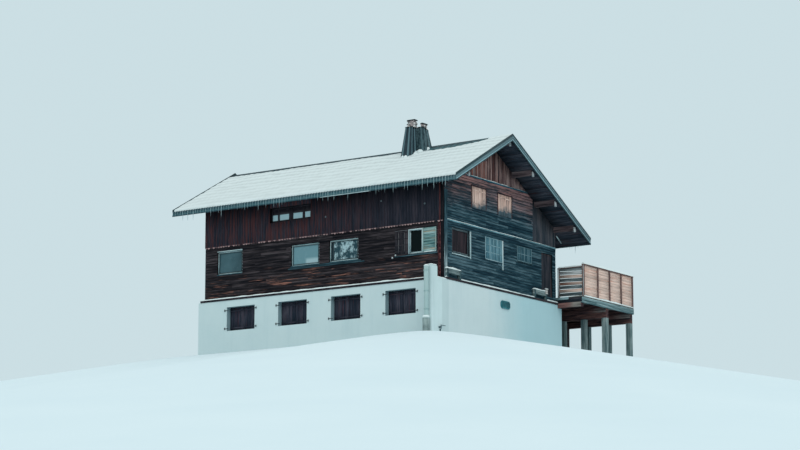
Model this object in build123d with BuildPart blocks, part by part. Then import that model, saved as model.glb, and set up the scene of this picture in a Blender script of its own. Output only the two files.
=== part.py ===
from build123d import *
import os
from math import cos, radians, tan

# Alpine chalet: a rendered masonry storey, two timber storeys, a snowy sheet roof and a side terrace.
# Millimetres. X runs along the front gable to the right, Y runs back along the eaves side, Z is up.
# Heights named below are above the ledge, the level where the timber storeys stand on the masonry.

# House plan
house_width = 9600
house_length = 13500
timber_wall = 160
masonry_wall = 520
front_ledge_reach = 120
left_ledge_reach = 350
right_ledge_reach = 350
right_ledge_drop = 150

# Storey heights
ledge_height = 2700
masonry_top = -180
mid_band = 2510
gable_boards_height = 1980
ground_floor_thickness = 120
living_floor_top = 120
upper_floor_top = 2650
upper_floor_thickness = 200

# Roof
roof_pitch = 28.6
ridge_place = 3770
ridge_height = 6780
left_eave_reach = 970
right_eave_reach = 1170
verge_reach = 1250
deck_thickness = 120
sheet_thickness = 25
snow_thickness = 90
snow_edge_gap = 90
bare_ridge_strip = 470
ridge_cap_width = 190
ridge_cap_thickness = 10
verge_board_thickness = 35
verge_board_depth = 190
verge_strip_depth = 60
verge_strip_thickness = 20

# Purlins, their places across the house and their sections
purlin_spacing = 2000
purlin_width = 160
purlin_depth = 220
purlin_reach = 1100

# Windows: width, height and sill height for each kind, then their places along each face
masonry_window = (1640, 1120)
masonry_window_sill = -1620
masonry_window_first = 1285
masonry_window_spacing = 3000
masonry_reveal = 260

window_frame = 60
window_frame_depth = 60
window_setback = 50
glass_thickness = 12
shutter_thickness = 35
shutter_gap = 6
window_sill_thickness = 40
window_sill_reach = 50

left_shuttered_window = (400, 1140, 1480, 1090)
left_glazed_windows = ((4660, 1150, 1610, 1000), (6850, 1150, 1600, 1000))
left_back_window_gap = 720
row_window_place = 7290
row_window_size = (2360, 700)
row_window_drop = 411
row_window_panes = 4

front_window_left = (610, 1100, 1460, 1170)
front_window_middle = (3350, 1170, 1460, 1060)
front_window_right_gap = 910
front_window_right_sill = 1480
front_window_right_size = (1300, 720)
upper_window = (1150, 980)
upper_window_drop = 420
upper_window_places = (2265, 4500)
side_window = (1460, 1060)
side_window_sill = 1170
right_window_places = (4700, 7300)
right_window_back_gap = 1440
back_window_places = (1300, 4100, 6900)
back_upper_window_places = (2265, 4500)

# Entrance door in the gable
door_corner_gap = 280
door_width = 1010
door_sill = 150
door_height = 2020
door_frame = 60
door_frame_depth = 110
door_leaf_thickness = 50
door_gap = 7
hinge_radius = 12
hinge_pin_radius = 6
hinge_clearance = 0.3
hinge_air = 3
hinge_height = 60
hinge_flag = 8
hinge_places = (300, 1600)
handle_height = 950
handle_length = 130
handle_reach = 55
handle_radius = 10

# Corner pier, pipe, vent and planters
pier_width = 470
pier_depth = 390
pier_reach = 1200
pier_top = 330
pipe_radius = 110
pipe_base_radius = 150
pipe_base_height = 650
pipe_top = 250
vent_place = 4480
vent_sill = -930
vent_width = 760
vent_height = 350
vent_depth = 60
vent_chamfer = 90
planter_place = 20
planter_door_gap = 855
planter_width = 1120
planter_height = 220
planter_foot_height = 180
planter_foot_width = 90

# Chimneys: near corner across and along the house, base and top width of the skirt, how far its top leans
# towards the gable, its height, then the width, the height and the further lean of the neck
left_chimney = (2560, 3520)
left_chimney_base = 570
left_chimney_top = 320
left_chimney_lean = 60
left_chimney_height = 7650
left_chimney_neck = (300, 325, 40)
right_chimney = (3140, 3130)
right_chimney_base = 540
right_chimney_top = 290
right_chimney_lean = -95
right_chimney_height = 7720
right_chimney_neck = (180, 170, 85)
chimney_cap_thickness = 60
chimney_cap_reach = 20

# Terrace at the right-hand front corner
terrace_length = 5000
terrace_front = 1440
terrace_depth = 3600
terrace_deck_top = 170
terrace_deck_thickness = 50
terrace_rim_depth = 270
terrace_rim_thickness = 50
terrace_beam_width = 240
terrace_beam_depth = 450
lower_beam_depth = 270
terrace_beam_count = 3
terrace_post_size = 240
terrace_post_spacing = 1150
rail_height = 1500
rail_post = 90
rail_panel_thickness = 30
rail_panel_foot = 60
rail_cap_thickness = 45
rail_cap_reach = 20
rail_bays = 4
rail_inset = 200
rail_first_bay = 1330
side_rail_drop = 100
slat_count = 8
slat_gap = 15

# Finishing boards
corner_board_width = 230
corner_board_thickness = 30
corner_board_drop = 511
band_depth = 60
band_reach = 40
upper_board_reach = 60
sill_board_depth = 100
sill_board_reach = 25
ledge_snow_depth = 80

# Derived places. The origin is below the middle of the whole outline, at ground level.
rise = tan(radians(roof_pitch))
upright = 1 / cos(radians(roof_pitch))
left_end = -max(left_eave_reach, pier_reach + 2 * pipe_base_radius)
right_end = house_width + terrace_length
verge_out = verge_board_thickness + verge_strip_thickness
front_end = -max(verge_reach + verge_out, terrace_front + rail_cap_reach)
back_end = house_length + verge_reach + verge_out
corner = Vector(-(left_end + right_end) / 2, -(front_end + back_end) / 2, ledge_height)
ground = -ledge_height
eave_left = -left_eave_reach
eave_right = house_width + right_eave_reach
masonry_left = -left_ledge_reach
masonry_right = house_width + right_ledge_reach
right_ledge_top = masonry_top - right_ledge_drop
masonry_front = -front_ledge_reach
masonry_back = house_length + front_ledge_reach
inner_left = timber_wall
inner_right = house_width - timber_wall
inner_front = timber_wall
inner_back = house_length - timber_wall
deck_drop = deck_thickness * upright
sheet_lift = sheet_thickness * upright
snow_lift = snow_thickness * upright
gable_band = ridge_height - gable_boards_height
door_place = house_width - door_corner_gap - door_width

# Working planes: the gable faces the viewer, the side plane looks through the house from the left
gable = Plane(origin=corner, x_dir=(1, 0, 0), z_dir=(0, -1, 0))
side = Plane(origin=corner, x_dir=(0, 1, 0), z_dir=(1, 0, 0))
floor = Plane(origin=corner, x_dir=(1, 0, 0), z_dir=(0, 0, 1))


def roof_line(x, lift=0.0):
    """Height of the top of the deck boards at x, raised by an upright lift."""
    return ridge_height - rise * abs(x - ridge_place) + lift


def purlin_bottom(x):
    """Height of the underside of the purlin whose middle is at x."""
    return roof_line(x) - deck_drop - purlin_depth


def gable_at(y):
    """The upright plane across the house at y, drawn as seen from the front."""
    return gable.offset(-y)


def side_at(x):
    """The upright plane along the house at x."""
    return side.offset(x)


def floor_at(z):
    """The level plane at height z above the ledge."""
    return floor.offset(z)


def draw(places, grow=0.0, mode=Mode.ADD):
    """Rectangles given as left, bottom, width and height, each grown by the same margin."""
    for left, bottom, width, height in places:
        with Locations((left + width / 2, bottom + height / 2)):
            Rectangle(width + 2 * grow, height + 2 * grow, mode=mode)


def outline(*points, mode=Mode.ADD):
    """A closed straight-sided outline through the points."""
    Polygon(*points, align=None, mode=mode)


def closed_leaves(windows):
    """Two closed shutter leaves over each window, with a gap between them."""
    draw(windows)
    gaps = [(x + w / 2 - shutter_gap / 2, z, shutter_gap, h) for x, z, w, h in windows]
    draw(gaps, mode=Mode.SUBTRACT)


def finish(part, name):
    """Name a finished piece and write it as its own file."""
    part.label = name
    export_step(part, f"parts/{name}.step")


os.makedirs("parts", exist_ok=True)

# Window lists for each face, as left, sill, width and height
masonry_window_run = house_length - masonry_window_first - masonry_window[0]
masonry_windows = [
    (masonry_window_first + masonry_window_spacing * n, masonry_window_sill, *masonry_window)
    for n in range(int(masonry_window_run // masonry_window_spacing) + 1)
]
leaf_place, leaf_sill, shuttered_width, leaf_height = left_shuttered_window
left_back_place = house_length - left_back_window_gap - shuttered_width
left_back_window = (left_back_place, leaf_sill, shuttered_width, leaf_height)
left_lower_windows = [left_shuttered_window, *left_glazed_windows, left_back_window]
row_window_sill = purlin_bottom(timber_wall / 2) - row_window_drop - row_window_size[1]
row_window = (row_window_place, row_window_sill, *row_window_size)
doorway = (door_place, door_sill, door_width, door_height)
door_head = door_sill + door_height
front_right_place = door_place - front_window_right_gap - front_window_right_size[0]
front_window_right = (front_right_place, front_window_right_sill, *front_window_right_size)
front_lower_windows = [front_window_left, front_window_middle, front_window_right]
upper_window_sill = gable_band - upper_window_drop - upper_window[1]
front_upper_windows = [(x, upper_window_sill, *upper_window) for x in upper_window_places]
back_upper_windows = [(x, upper_window_sill, *upper_window) for x in back_upper_window_places]
right_back_place = house_length - right_window_back_gap - side_window[0]
right_windows = [(y, side_window_sill, *side_window) for y in (*right_window_places, right_back_place)]
back_windows = [(x, side_window_sill, *side_window) for x in back_window_places]

# Masonry storey
masonry_height = masonry_top - ground
with BuildPart() as left_masonry_wall:
    with BuildSketch(side_at(masonry_left)):
        draw([(masonry_front, ground, masonry_back - masonry_front, masonry_height)])
        draw(masonry_windows, mode=Mode.SUBTRACT)
    extrude(amount=masonry_wall)
finish(left_masonry_wall.part, "left_masonry_wall")

# The right wall has a lower ledge outside the timber wall, which carries the first terrace beam
masonry_inner_left = masonry_left + masonry_wall
masonry_inner_right = masonry_right - masonry_wall
with BuildPart() as right_masonry_wall:
    with BuildSketch(gable_at(masonry_front)):
        outline(
            (masonry_inner_right, ground),
            (masonry_right, ground),
            (masonry_right, right_ledge_top),
            (house_width, right_ledge_top),
            (house_width, masonry_top),
            (masonry_inner_right, masonry_top),
        )
    extrude(amount=masonry_front - masonry_back)
finish(right_masonry_wall.part, "right_masonry_wall")

masonry_inner_width = masonry_inner_right - masonry_inner_left
with BuildPart() as front_masonry_wall:
    with BuildSketch(gable_at(masonry_front)):
        draw([(masonry_inner_left, ground, masonry_inner_width, masonry_height)])
    extrude(amount=-masonry_wall)
finish(front_masonry_wall.part, "front_masonry_wall")

with BuildPart() as back_masonry_wall:
    with BuildSketch(gable_at(masonry_back)):
        draw([(masonry_inner_left, ground, masonry_inner_width, masonry_height)])
    extrude(amount=masonry_wall)
finish(back_masonry_wall.part, "back_masonry_wall")

# The pier carries on the front wall's face past the left corner, with a higher head at its outer end
with BuildPart() as corner_pier:
    with BuildSketch(gable_at(masonry_front)):
        draw([(-pier_reach, ground, pier_reach - left_ledge_reach, masonry_height)])
        draw([(-pier_reach, masonry_top, pier_width, pier_top - masonry_top)])
    extrude(amount=-pier_depth)
    head = corner_pier.faces().sort_by(Axis.Z)[-1].edges()
    fillet(head, pier_width / 6)
finish(corner_pier.part, "corner_pier")

pipe_y = masonry_front + pier_depth / 2
pipe_base_top = ground + pipe_base_height
with BuildPart() as pier_pipe:
    with BuildSketch(floor_at(ground)):
        with Locations((-pier_reach - pipe_base_radius, pipe_y)):
            Circle(pipe_base_radius)
    extrude(amount=pipe_base_height)
    with BuildSketch(floor_at(pipe_base_top)):
        with Locations((-pier_reach - pipe_radius, pipe_y)):
            Circle(pipe_radius)
    extrude(amount=pipe_top - pipe_base_top)
finish(pier_pipe.part, "pier_pipe")

# Closed double shutters in the masonry windows, with a gap between the two leaves
with BuildPart() as masonry_shutters:
    with BuildSketch(side_at(masonry_left + masonry_reveal)):
        closed_leaves(masonry_windows)
    extrude(amount=shutter_thickness)
finish(masonry_shutters.part, "masonry_shutters")

with BuildPart() as wall_vent:
    with BuildSketch(gable_at(masonry_front)):
        draw([(vent_place, vent_sill, vent_width, vent_height)])
    extrude(amount=vent_depth)
    chamfer(wall_vent.edges().filter_by(Axis.Y), vent_chamfer)
finish(wall_vent.part, "wall_vent")

# Sill boards on top of the masonry carry a strip of snow in front of the timber walls
sill_top = masonry_top + sill_board_depth
front_depth = front_ledge_reach + sill_board_reach
left_depth = left_ledge_reach + sill_board_reach
left_start = masonry_front + pier_depth
front_ledge = (0, -front_depth, house_width, front_depth)
left_ledge = (-left_depth, left_start, left_depth, house_length - left_start)
planter_places = (planter_place, door_place - planter_door_gap)
planter_depth = front_depth - corner_board_thickness
planter_boxes = [(x, -front_depth, planter_width, planter_depth) for x in planter_places]
foot_places = [x + step for x in planter_places for step in (0, planter_width - planter_foot_width)]
planter_feet = [(x, -front_depth, planter_foot_width, planter_depth) for x in foot_places]
with BuildPart() as sill_boards:
    with BuildSketch(floor_at(masonry_top)):
        draw([front_ledge, left_ledge])
    extrude(amount=sill_board_depth)
finish(sill_boards.part, "sill_boards")

right_snow_start = terrace_depth - terrace_front + rail_panel_thickness
with BuildPart() as ledge_snow:
    with BuildSketch(floor_at(sill_top)):
        draw([front_ledge, left_ledge])
        draw(planter_feet, mode=Mode.SUBTRACT)
        draw([(0, -corner_board_thickness, corner_board_width, corner_board_thickness)], mode=Mode.SUBTRACT)
    extrude(amount=ledge_snow_depth)
    with BuildSketch(floor_at(right_ledge_top)):
        draw([(house_width, right_snow_start, right_ledge_reach, house_length - right_snow_start)])
    extrude(amount=ledge_snow_depth)
finish(ledge_snow.part, "ledge_snow")

# Floors
with BuildPart() as ground_floor:
    with BuildSketch(floor_at(ground)):
        inner_length = masonry_back - masonry_front - 2 * masonry_wall
        draw([(masonry_inner_left, masonry_front + masonry_wall, masonry_inner_width, inner_length)])
    extrude(amount=ground_floor_thickness)
finish(ground_floor.part, "ground_floor")

inner_width = inner_right - inner_left
with BuildPart() as living_floor:
    with BuildSketch(floor_at(masonry_top)):
        draw([(inner_left, inner_front, inner_width, inner_back - inner_front)])
    extrude(amount=living_floor_top - masonry_top)
finish(living_floor.part, "living_floor")

with BuildPart() as upper_floor:
    with BuildSketch(floor_at(upper_floor_top - upper_floor_thickness)):
        draw([(inner_left, inner_front, inner_width, inner_back - inner_front)])
    extrude(amount=upper_floor_thickness)
finish(upper_floor.part, "upper_floor")

# Purlins run through both gables and follow the deck boards with their top faces
ridge_beam_places = [ridge_place]
wall_plate_places = [timber_wall / 2, house_width - timber_wall / 2]
purlin_places = [ridge_place + purlin_spacing * n for n in (-1, 1, 2)]
roof_beam_places = ridge_beam_places + wall_plate_places + purlin_places


def purlin_section(x, mode=Mode.ADD):
    """Outline of the purlin at x, its top following the roof on both sides of the ridge."""
    low = purlin_bottom(x)
    left = x - purlin_width / 2
    right = x + purlin_width / 2
    top = [(right, roof_line(right) - deck_drop)]
    if left < ridge_place < right:
        top.append((ridge_place, roof_line(ridge_place) - deck_drop))
    top.append((left, roof_line(left) - deck_drop))
    outline((left, low), (right, low), *top, mode=mode)


beam_groups = {"ridge_beam": ridge_beam_places, "wall_plates": wall_plate_places, "purlins": purlin_places}
for group_name, places in beam_groups.items():
    with BuildPart() as roof_beams:
        with BuildSketch(gable_at(-purlin_reach)):
            for place in places:
                purlin_section(place)
        extrude(amount=-(house_length + 2 * purlin_reach))
    finish(roof_beams.part, group_name)

# Gable walls. The front one is split beside, below and over the doorway
plate_bottom_left, plate_bottom_right = [purlin_bottom(place) for place in wall_plate_places]
lower_wall_height = mid_band - masonry_top
door_right = door_place + door_width
with BuildPart() as front_lower_wall:
    with BuildSketch(gable_at(0)):
        draw([(0, masonry_top, door_place, lower_wall_height)])
        draw(front_lower_windows, mode=Mode.SUBTRACT)
    extrude(amount=-timber_wall)
finish(front_lower_wall.part, "front_lower_wall")

with BuildPart() as wall_beside_door:
    with BuildSketch(gable_at(0)):
        draw([(door_right, masonry_top, house_width - door_right, lower_wall_height)])
    extrude(amount=-timber_wall)
finish(wall_beside_door.part, "wall_beside_door")

with BuildPart() as wall_over_door:
    with BuildSketch(gable_at(0)):
        draw([(door_place, door_head, door_width, mid_band - door_head)])
    extrude(amount=-timber_wall)
finish(wall_over_door.part, "wall_over_door")

with BuildPart() as door_sill_beam:
    with BuildSketch(gable_at(0)):
        draw([(door_place, masonry_top, door_width, door_sill - masonry_top)])
    extrude(amount=-timber_wall)
finish(door_sill_beam.part, "door_sill_beam")


def gable_outline(low, high):
    """Gable wall between two heights, under the deck boards and cut round the purlins."""
    outline(
        (0, masonry_top),
        (house_width, masonry_top),
        (house_width, roof_line(house_width) - deck_drop),
        (ridge_place, roof_line(ridge_place) - deck_drop),
        (0, roof_line(0) - deck_drop),
    )
    if low > masonry_top:
        draw([(0, masonry_top, house_width, low - masonry_top)], mode=Mode.SUBTRACT)
    draw([(0, high, house_width, ridge_height)], mode=Mode.SUBTRACT)
    for place in roof_beam_places:
        purlin_section(place, mode=Mode.SUBTRACT)


with BuildPart() as front_upper_wall:
    with BuildSketch(gable_at(0)):
        gable_outline(mid_band, gable_band)
        draw(front_upper_windows, mode=Mode.SUBTRACT)
    extrude(amount=-timber_wall)
finish(front_upper_wall.part, "front_upper_wall")

with BuildPart() as front_gable_boards:
    with BuildSketch(gable_at(0)):
        gable_outline(gable_band, ridge_height)
    extrude(amount=-timber_wall)
finish(front_gable_boards.part, "front_gable_boards")

with BuildPart() as back_timber_wall:
    with BuildSketch(gable_at(inner_back)):
        gable_outline(masonry_top, ridge_height)
        draw(back_windows + back_upper_windows, mode=Mode.SUBTRACT)
    extrude(amount=-timber_wall)
finish(back_timber_wall.part, "back_timber_wall")

# Side walls stand between the gables and carry the wall plates
wall_run = inner_back - inner_front
with BuildPart() as left_lower_wall:
    with BuildSketch(side_at(0)):
        draw([(inner_front, masonry_top, wall_run, lower_wall_height)])
        draw(left_lower_windows, mode=Mode.SUBTRACT)
    extrude(amount=timber_wall)
finish(left_lower_wall.part, "left_lower_wall")

# The left upper wall's boards hang a little outside the wall below, and pass outside the wall plate
with BuildPart() as left_upper_wall:
    with BuildSketch(side_at(0)):
        draw([(inner_front, mid_band, wall_run, plate_bottom_left - mid_band)])
        draw([row_window], mode=Mode.SUBTRACT)
    extrude(amount=timber_wall)
    with BuildSketch(side_at(-upper_board_reach)):
        draw([(0, mid_band, house_length, roof_line(-upper_board_reach) - deck_drop - mid_band)])
        draw([row_window], mode=Mode.SUBTRACT)
    extrude(amount=upper_board_reach)
finish(left_upper_wall.part, "left_upper_wall")

with BuildPart() as right_timber_wall:
    with BuildSketch(side_at(inner_right)):
        draw([(inner_front, masonry_top, wall_run, plate_bottom_right - masonry_top)])
        draw(right_windows, mode=Mode.SUBTRACT)
    extrude(amount=timber_wall)
finish(right_timber_wall.part, "right_timber_wall")


# Window frames are rings set back in the openings, and each holds one sheet of glass
def frame_rings(windows):
    """One frame ring for each window."""
    draw(windows)
    draw(windows, grow=-window_frame, mode=Mode.SUBTRACT)


def panes(windows):
    """The glass inside each frame ring."""
    draw(windows, grow=-window_frame)


glass_setback = window_setback + (window_frame_depth - glass_thickness) / 2
row_left, row_sill, row_width, row_height = row_window
row_pane_width = row_width / row_window_panes
row_windows = [
    (row_left + row_pane_width * n, row_sill, row_pane_width, row_height)
    for n in range(row_window_panes)
]
left_windows = left_lower_windows + row_windows
front_windows = front_lower_windows + front_upper_windows
all_back_windows = back_windows + back_upper_windows

with BuildPart() as left_window_frames:
    with BuildSketch(side_at(window_setback)):
        frame_rings(left_windows)
    extrude(amount=window_frame_depth)
finish(left_window_frames.part, "left_window_frames")


with BuildPart() as front_window_frames:
    with BuildSketch(gable_at(window_setback)):
        frame_rings(front_windows)
    extrude(amount=-window_frame_depth)
finish(front_window_frames.part, "front_window_frames")


with BuildPart() as rear_window_frames:
    with BuildSketch(side_at(house_width - window_setback)):
        frame_rings(right_windows)
    extrude(amount=-window_frame_depth)
    with BuildSketch(gable_at(house_length - window_setback)):
        frame_rings(all_back_windows)
    extrude(amount=window_frame_depth)
finish(rear_window_frames.part, "rear_window_frames")

with BuildPart() as window_glass:
    with BuildSketch(side_at(glass_setback)):
        panes(left_windows)
    extrude(amount=glass_thickness)
    with BuildSketch(gable_at(glass_setback)):
        panes(front_windows)
    extrude(amount=-glass_thickness)
    with BuildSketch(side_at(house_width - glass_setback)):
        panes(right_windows)
    extrude(amount=-glass_thickness)
    with BuildSketch(gable_at(house_length - glass_setback)):
        panes(all_back_windows)
    extrude(amount=glass_thickness)
finish(window_glass.part, "window_glass")


# Shutters lie on the wall's face. One window on the left has one leaf open against the wall
closed_front_windows = [front_window_middle, front_window_right, *front_upper_windows]
with BuildPart() as front_shutters:
    with BuildSketch(gable_at(0)):
        closed_leaves(closed_front_windows)
    extrude(amount=shutter_thickness)
finish(front_shutters.part, "front_shutters")

leaf_width = shuttered_width / 2 - shutter_gap / 2
with BuildPart() as left_closed_shutter:
    with BuildSketch(side_at(-shutter_thickness)):
        draw([(leaf_place, leaf_sill, leaf_width, leaf_height)])
    extrude(amount=shutter_thickness)
finish(left_closed_shutter.part, "left_closed_shutter")

with BuildPart() as left_open_shutter:
    with BuildSketch(side_at(-shutter_thickness)):
        draw([(leaf_place + shuttered_width + shutter_gap, leaf_sill, leaf_width, leaf_height)])
    extrude(amount=shutter_thickness)
finish(left_open_shutter.part, "left_open_shutter")


def sills(windows):
    """A sill board below each window."""
    draw([(x, z - window_sill_thickness, w, window_sill_thickness) for x, z, w, h in windows])


with BuildPart() as window_sills:
    with BuildSketch(side_at(-window_sill_reach)):
        sills(left_lower_windows)
    extrude(amount=window_sill_reach)
    with BuildSketch(gable_at(-window_sill_reach)):
        sills(front_lower_windows)
    extrude(amount=-window_sill_reach)
finish(window_sills.part, "window_sills")

# Door frame with two hinge pins, and the leaf that turns on them into the house
frame_inner = door_place + door_width - door_frame
leaf_right = frame_inner - door_gap
leaf_left_edge = door_place + door_frame + door_gap
leaf_foot = door_sill + door_gap
leaf_top = door_head - door_frame - door_gap
leaf_front = timber_wall - door_frame_depth + door_gap
leaf_back = leaf_front + door_leaf_thickness
hinge_x = frame_inner - hinge_radius - hinge_air
hinge_y = leaf_back + hinge_radius + hinge_air
with BuildPart() as door_frame_ring:
    with BuildSketch(gable_at(timber_wall - door_frame_depth)):
        draw([doorway])
        inner_door = (door_width - 2 * door_frame, door_height - door_frame)
        draw([(door_place + door_frame, door_sill, *inner_door)], mode=Mode.SUBTRACT)
    extrude(amount=-door_frame_depth)
    for height in hinge_places:
        knuckle_foot = door_sill + height - hinge_height
        with BuildSketch(floor_at(knuckle_foot)):
            with Locations((hinge_x, hinge_y)):
                Circle(hinge_radius)
            draw([(hinge_x, hinge_y - hinge_flag / 2, frame_inner - hinge_x, hinge_flag)])
        extrude(amount=hinge_height - hinge_clearance)
        with BuildSketch(floor_at(knuckle_foot)):
            with Locations((hinge_x, hinge_y)):
                Circle(hinge_pin_radius)
        extrude(amount=2 * hinge_height)
finish(door_frame_ring.part, "door_frame")

with BuildPart() as entrance_door:
    with BuildSketch(gable_at(leaf_front)):
        draw([(leaf_left_edge, leaf_foot, leaf_right - leaf_left_edge, leaf_top - leaf_foot)])
    extrude(amount=-door_leaf_thickness)
    for height in hinge_places:
        with BuildSketch(floor_at(door_sill + height)):
            with Locations((hinge_x, hinge_y)):
                Circle(hinge_radius)
            flag_depth = hinge_y - leaf_back + hinge_flag
            draw([(hinge_x - hinge_radius, leaf_back - hinge_flag, 2 * hinge_flag, flag_depth)])
            with Locations((hinge_x, hinge_y)):
                Circle(hinge_pin_radius + hinge_clearance, mode=Mode.SUBTRACT)
        extrude(amount=hinge_height)
    with BuildSketch(gable_at(leaf_front)):
        with Locations((leaf_left_edge + handle_reach, door_sill + handle_height)):
            Circle(handle_radius)
    extrude(amount=handle_reach)
    with BuildSketch(side_at(leaf_left_edge + handle_reach - handle_radius)):
        with Locations((leaf_front - handle_reach, door_sill + handle_height)):
            Circle(handle_radius)
    extrude(amount=handle_length)
finish(entrance_door.part, "entrance_door")

# Planters full of earth stand with their feet on the front sill board
with BuildPart() as planters:
    with BuildSketch(floor_at(sill_top)):
        draw(planter_feet)
    extrude(amount=planter_foot_height)
    with BuildSketch(floor_at(sill_top + planter_foot_height)):
        draw(planter_boxes)
    extrude(amount=planter_height)
finish(planters.part, "planters")

# Trim boards
corner_board_top = plate_bottom_left - corner_board_drop
with BuildPart() as corner_board:
    with BuildSketch(gable_at(0)):
        draw([(0, sill_top, corner_board_width, corner_board_top - sill_top)])
    extrude(amount=corner_board_thickness)
finish(corner_board.part, "corner_board")

with BuildPart() as gable_bands:
    with BuildSketch(gable_at(0)):
        draw([(corner_board_width, mid_band, house_width - corner_board_width, band_depth)])
    extrude(amount=band_reach)
    with BuildSketch(gable_at(0)):
        gable_outline(gable_band, gable_band + band_depth)
    extrude(amount=band_reach)
finish(gable_bands.part, "gable_bands")

# Roof layers: deck boards, sheets, ridge cap and snow, each cut round the chimneys
roof_run = house_length + 2 * verge_reach
roof_start = -verge_reach


def slope_section(low_end, high_end, bottom_lift, top_lift):
    """Section of one roof layer between two places across the house."""
    outline(
        (low_end, roof_line(low_end, bottom_lift)),
        (high_end, roof_line(high_end, bottom_lift)),
        (high_end, roof_line(high_end, top_lift)),
        (low_end, roof_line(low_end, top_lift)),
    )


# Each chimney as its near corner, the skirt's base, top, lean and height, and the neck
left_skirt = (left_chimney_base, left_chimney_top, left_chimney_lean, left_chimney_height)
right_skirt = (right_chimney_base, right_chimney_top, right_chimney_lean, right_chimney_height)
left_shape = (left_chimney, left_skirt, left_chimney_neck)
right_shape = (right_chimney, right_skirt, right_chimney_neck)
chimneys = {"left_chimney": left_shape, "right_chimney": right_shape}


def cut_chimneys():
    """Cut the square chimney shafts out of the roof layer being made."""
    for (x, y), (base, top, lean, height), neck in chimneys.values():
        with BuildSketch(floor_at(roof_line(x) - 2 * deck_drop)) as shaft:
            draw([(x, y, base, base)])
        extrude(shaft.sketch, amount=height, mode=Mode.SUBTRACT)


snow_top = sheet_lift + snow_lift
left_snow_slope = (eave_left, ridge_place - bare_ridge_strip)
right_snow_slope = (eave_right, ridge_place + bare_ridge_strip)
left_slope = (eave_left, ridge_place)
right_slope = (eave_right, ridge_place)
roof_layers = {
    "left_roof_deck": ([left_slope], -deck_drop, 0, 0),
    "right_roof_deck": ([right_slope], -deck_drop, 0, 0),
    "roof_sheet": ([left_slope, right_slope], 0, sheet_lift, 0),
    "roof_snow": ([left_snow_slope, right_snow_slope], sheet_lift, snow_top, snow_edge_gap),
}
for layer_name, (slopes, bottom_lift, top_lift, inset) in roof_layers.items():
    with BuildPart() as layer:
        with BuildSketch(gable_at(roof_start + inset)):
            for low_end, high_end in slopes:
                slope_section(low_end, high_end, bottom_lift, top_lift)
        extrude(amount=-(roof_run - 2 * inset))
        cut_chimneys()
    finish(layer.part, layer_name)

cap_lift = sheet_lift + ridge_cap_thickness * upright
with BuildPart() as ridge_cap:
    with BuildSketch(gable_at(roof_start)):
        cap_low = ridge_place - ridge_cap_width
        cap_high = ridge_place + ridge_cap_width
        outline(
            (cap_low, roof_line(cap_low, sheet_lift)),
            (ridge_place, roof_line(ridge_place, sheet_lift)),
            (cap_high, roof_line(cap_high, sheet_lift)),
            (cap_high, roof_line(cap_high, cap_lift)),
            (ridge_place, roof_line(ridge_place, cap_lift)),
            (cap_low, roof_line(cap_low, cap_lift)),
        )
    extrude(amount=-roof_run)
    cut_chimneys()
finish(ridge_cap.part, "ridge_cap")


def verge_outline(top_lift, depth):
    """Outline of a board that follows both slopes of the roof, of one upright depth."""
    low_lift = top_lift - depth * upright
    outline(
        (eave_left, roof_line(eave_left, low_lift)),
        (ridge_place, roof_line(ridge_place, low_lift)),
        (eave_right, roof_line(eave_right, low_lift)),
        (eave_right, roof_line(eave_right, top_lift)),
        (ridge_place, roof_line(ridge_place, top_lift)),
        (eave_left, roof_line(eave_left, top_lift)),
    )


verge_top = cap_lift
strip_top = verge_top - (verge_board_depth - verge_strip_depth) * upright
roof_finish = roof_start + roof_run
with BuildPart() as verge_boards:
    for end, outward in ((roof_start, 1), (roof_finish, -1)):
        with BuildSketch(gable_at(end)):
            verge_outline(verge_top, verge_board_depth)
        extrude(amount=outward * verge_board_thickness)
        with BuildSketch(gable_at(end - outward * verge_board_thickness)):
            verge_outline(strip_top, verge_strip_depth)
        extrude(amount=outward * verge_strip_thickness)
finish(verge_boards.part, "verge_boards")

# Each chimney is a square shaft in a tapered skirt. A stone neck and a slab cap stand on it
for chimney_name, ((x, y), (base, top, lean, height), neck) in chimneys.items():
    shaft_foot = roof_line(x) - deck_drop
    skirt_foot = roof_line(x + base, sheet_lift)
    with BuildPart() as chimney:
        with BuildSketch(floor_at(shaft_foot)):
            draw([(x, y, base, base)])
        extrude(amount=skirt_foot - shaft_foot)
        with BuildSketch(floor_at(skirt_foot)):
            draw([(x, y, base, base)])
        with BuildSketch(floor_at(height)):
            draw([(x + (base - top) / 2, y + (base - top) / 2 - lean, top, top)])
        loft()
    finish(chimney.part, chimney_name)

with BuildPart() as chimney_heads:
    for (x, y), (base, top, lean, height), (neck, neck_height, neck_lean) in chimneys.values():
        neck_inset = (base - neck) / 2
        neck_place = (x + neck_inset, y + neck_inset - lean - neck_lean, neck, neck)
        with BuildSketch(floor_at(height)):
            draw([neck_place])
        extrude(amount=neck_height)
        with BuildSketch(floor_at(height + neck_height)):
            draw([neck_place], chimney_cap_reach)
        extrude(amount=chimney_cap_thickness)
finish(chimney_heads.part, "chimney_heads")

# Terrace: deck on beams and posts at the right of the house
terrace_left = house_width
terrace_right = house_width + terrace_length
terrace_back = terrace_depth - terrace_front
deck_bottom = terrace_deck_top - terrace_deck_thickness
with BuildPart() as terrace_deck:
    with BuildSketch(floor_at(deck_bottom)):
        draw([(terrace_left, -terrace_front, terrace_length, terrace_depth)])
    extrude(amount=terrace_deck_thickness)
finish(terrace_deck.part, "terrace_deck")

with BuildPart() as terrace_rim:
    with BuildSketch(floor_at(deck_bottom - terrace_rim_depth)):
        rim_end = terrace_right - terrace_rim_thickness
        draw([(terrace_left, -terrace_front, terrace_length, terrace_rim_thickness)])
        draw([(rim_end, -terrace_front, terrace_rim_thickness, terrace_depth)])
    extrude(amount=terrace_rim_depth)
finish(terrace_rim.part, "terrace_rim")

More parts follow.
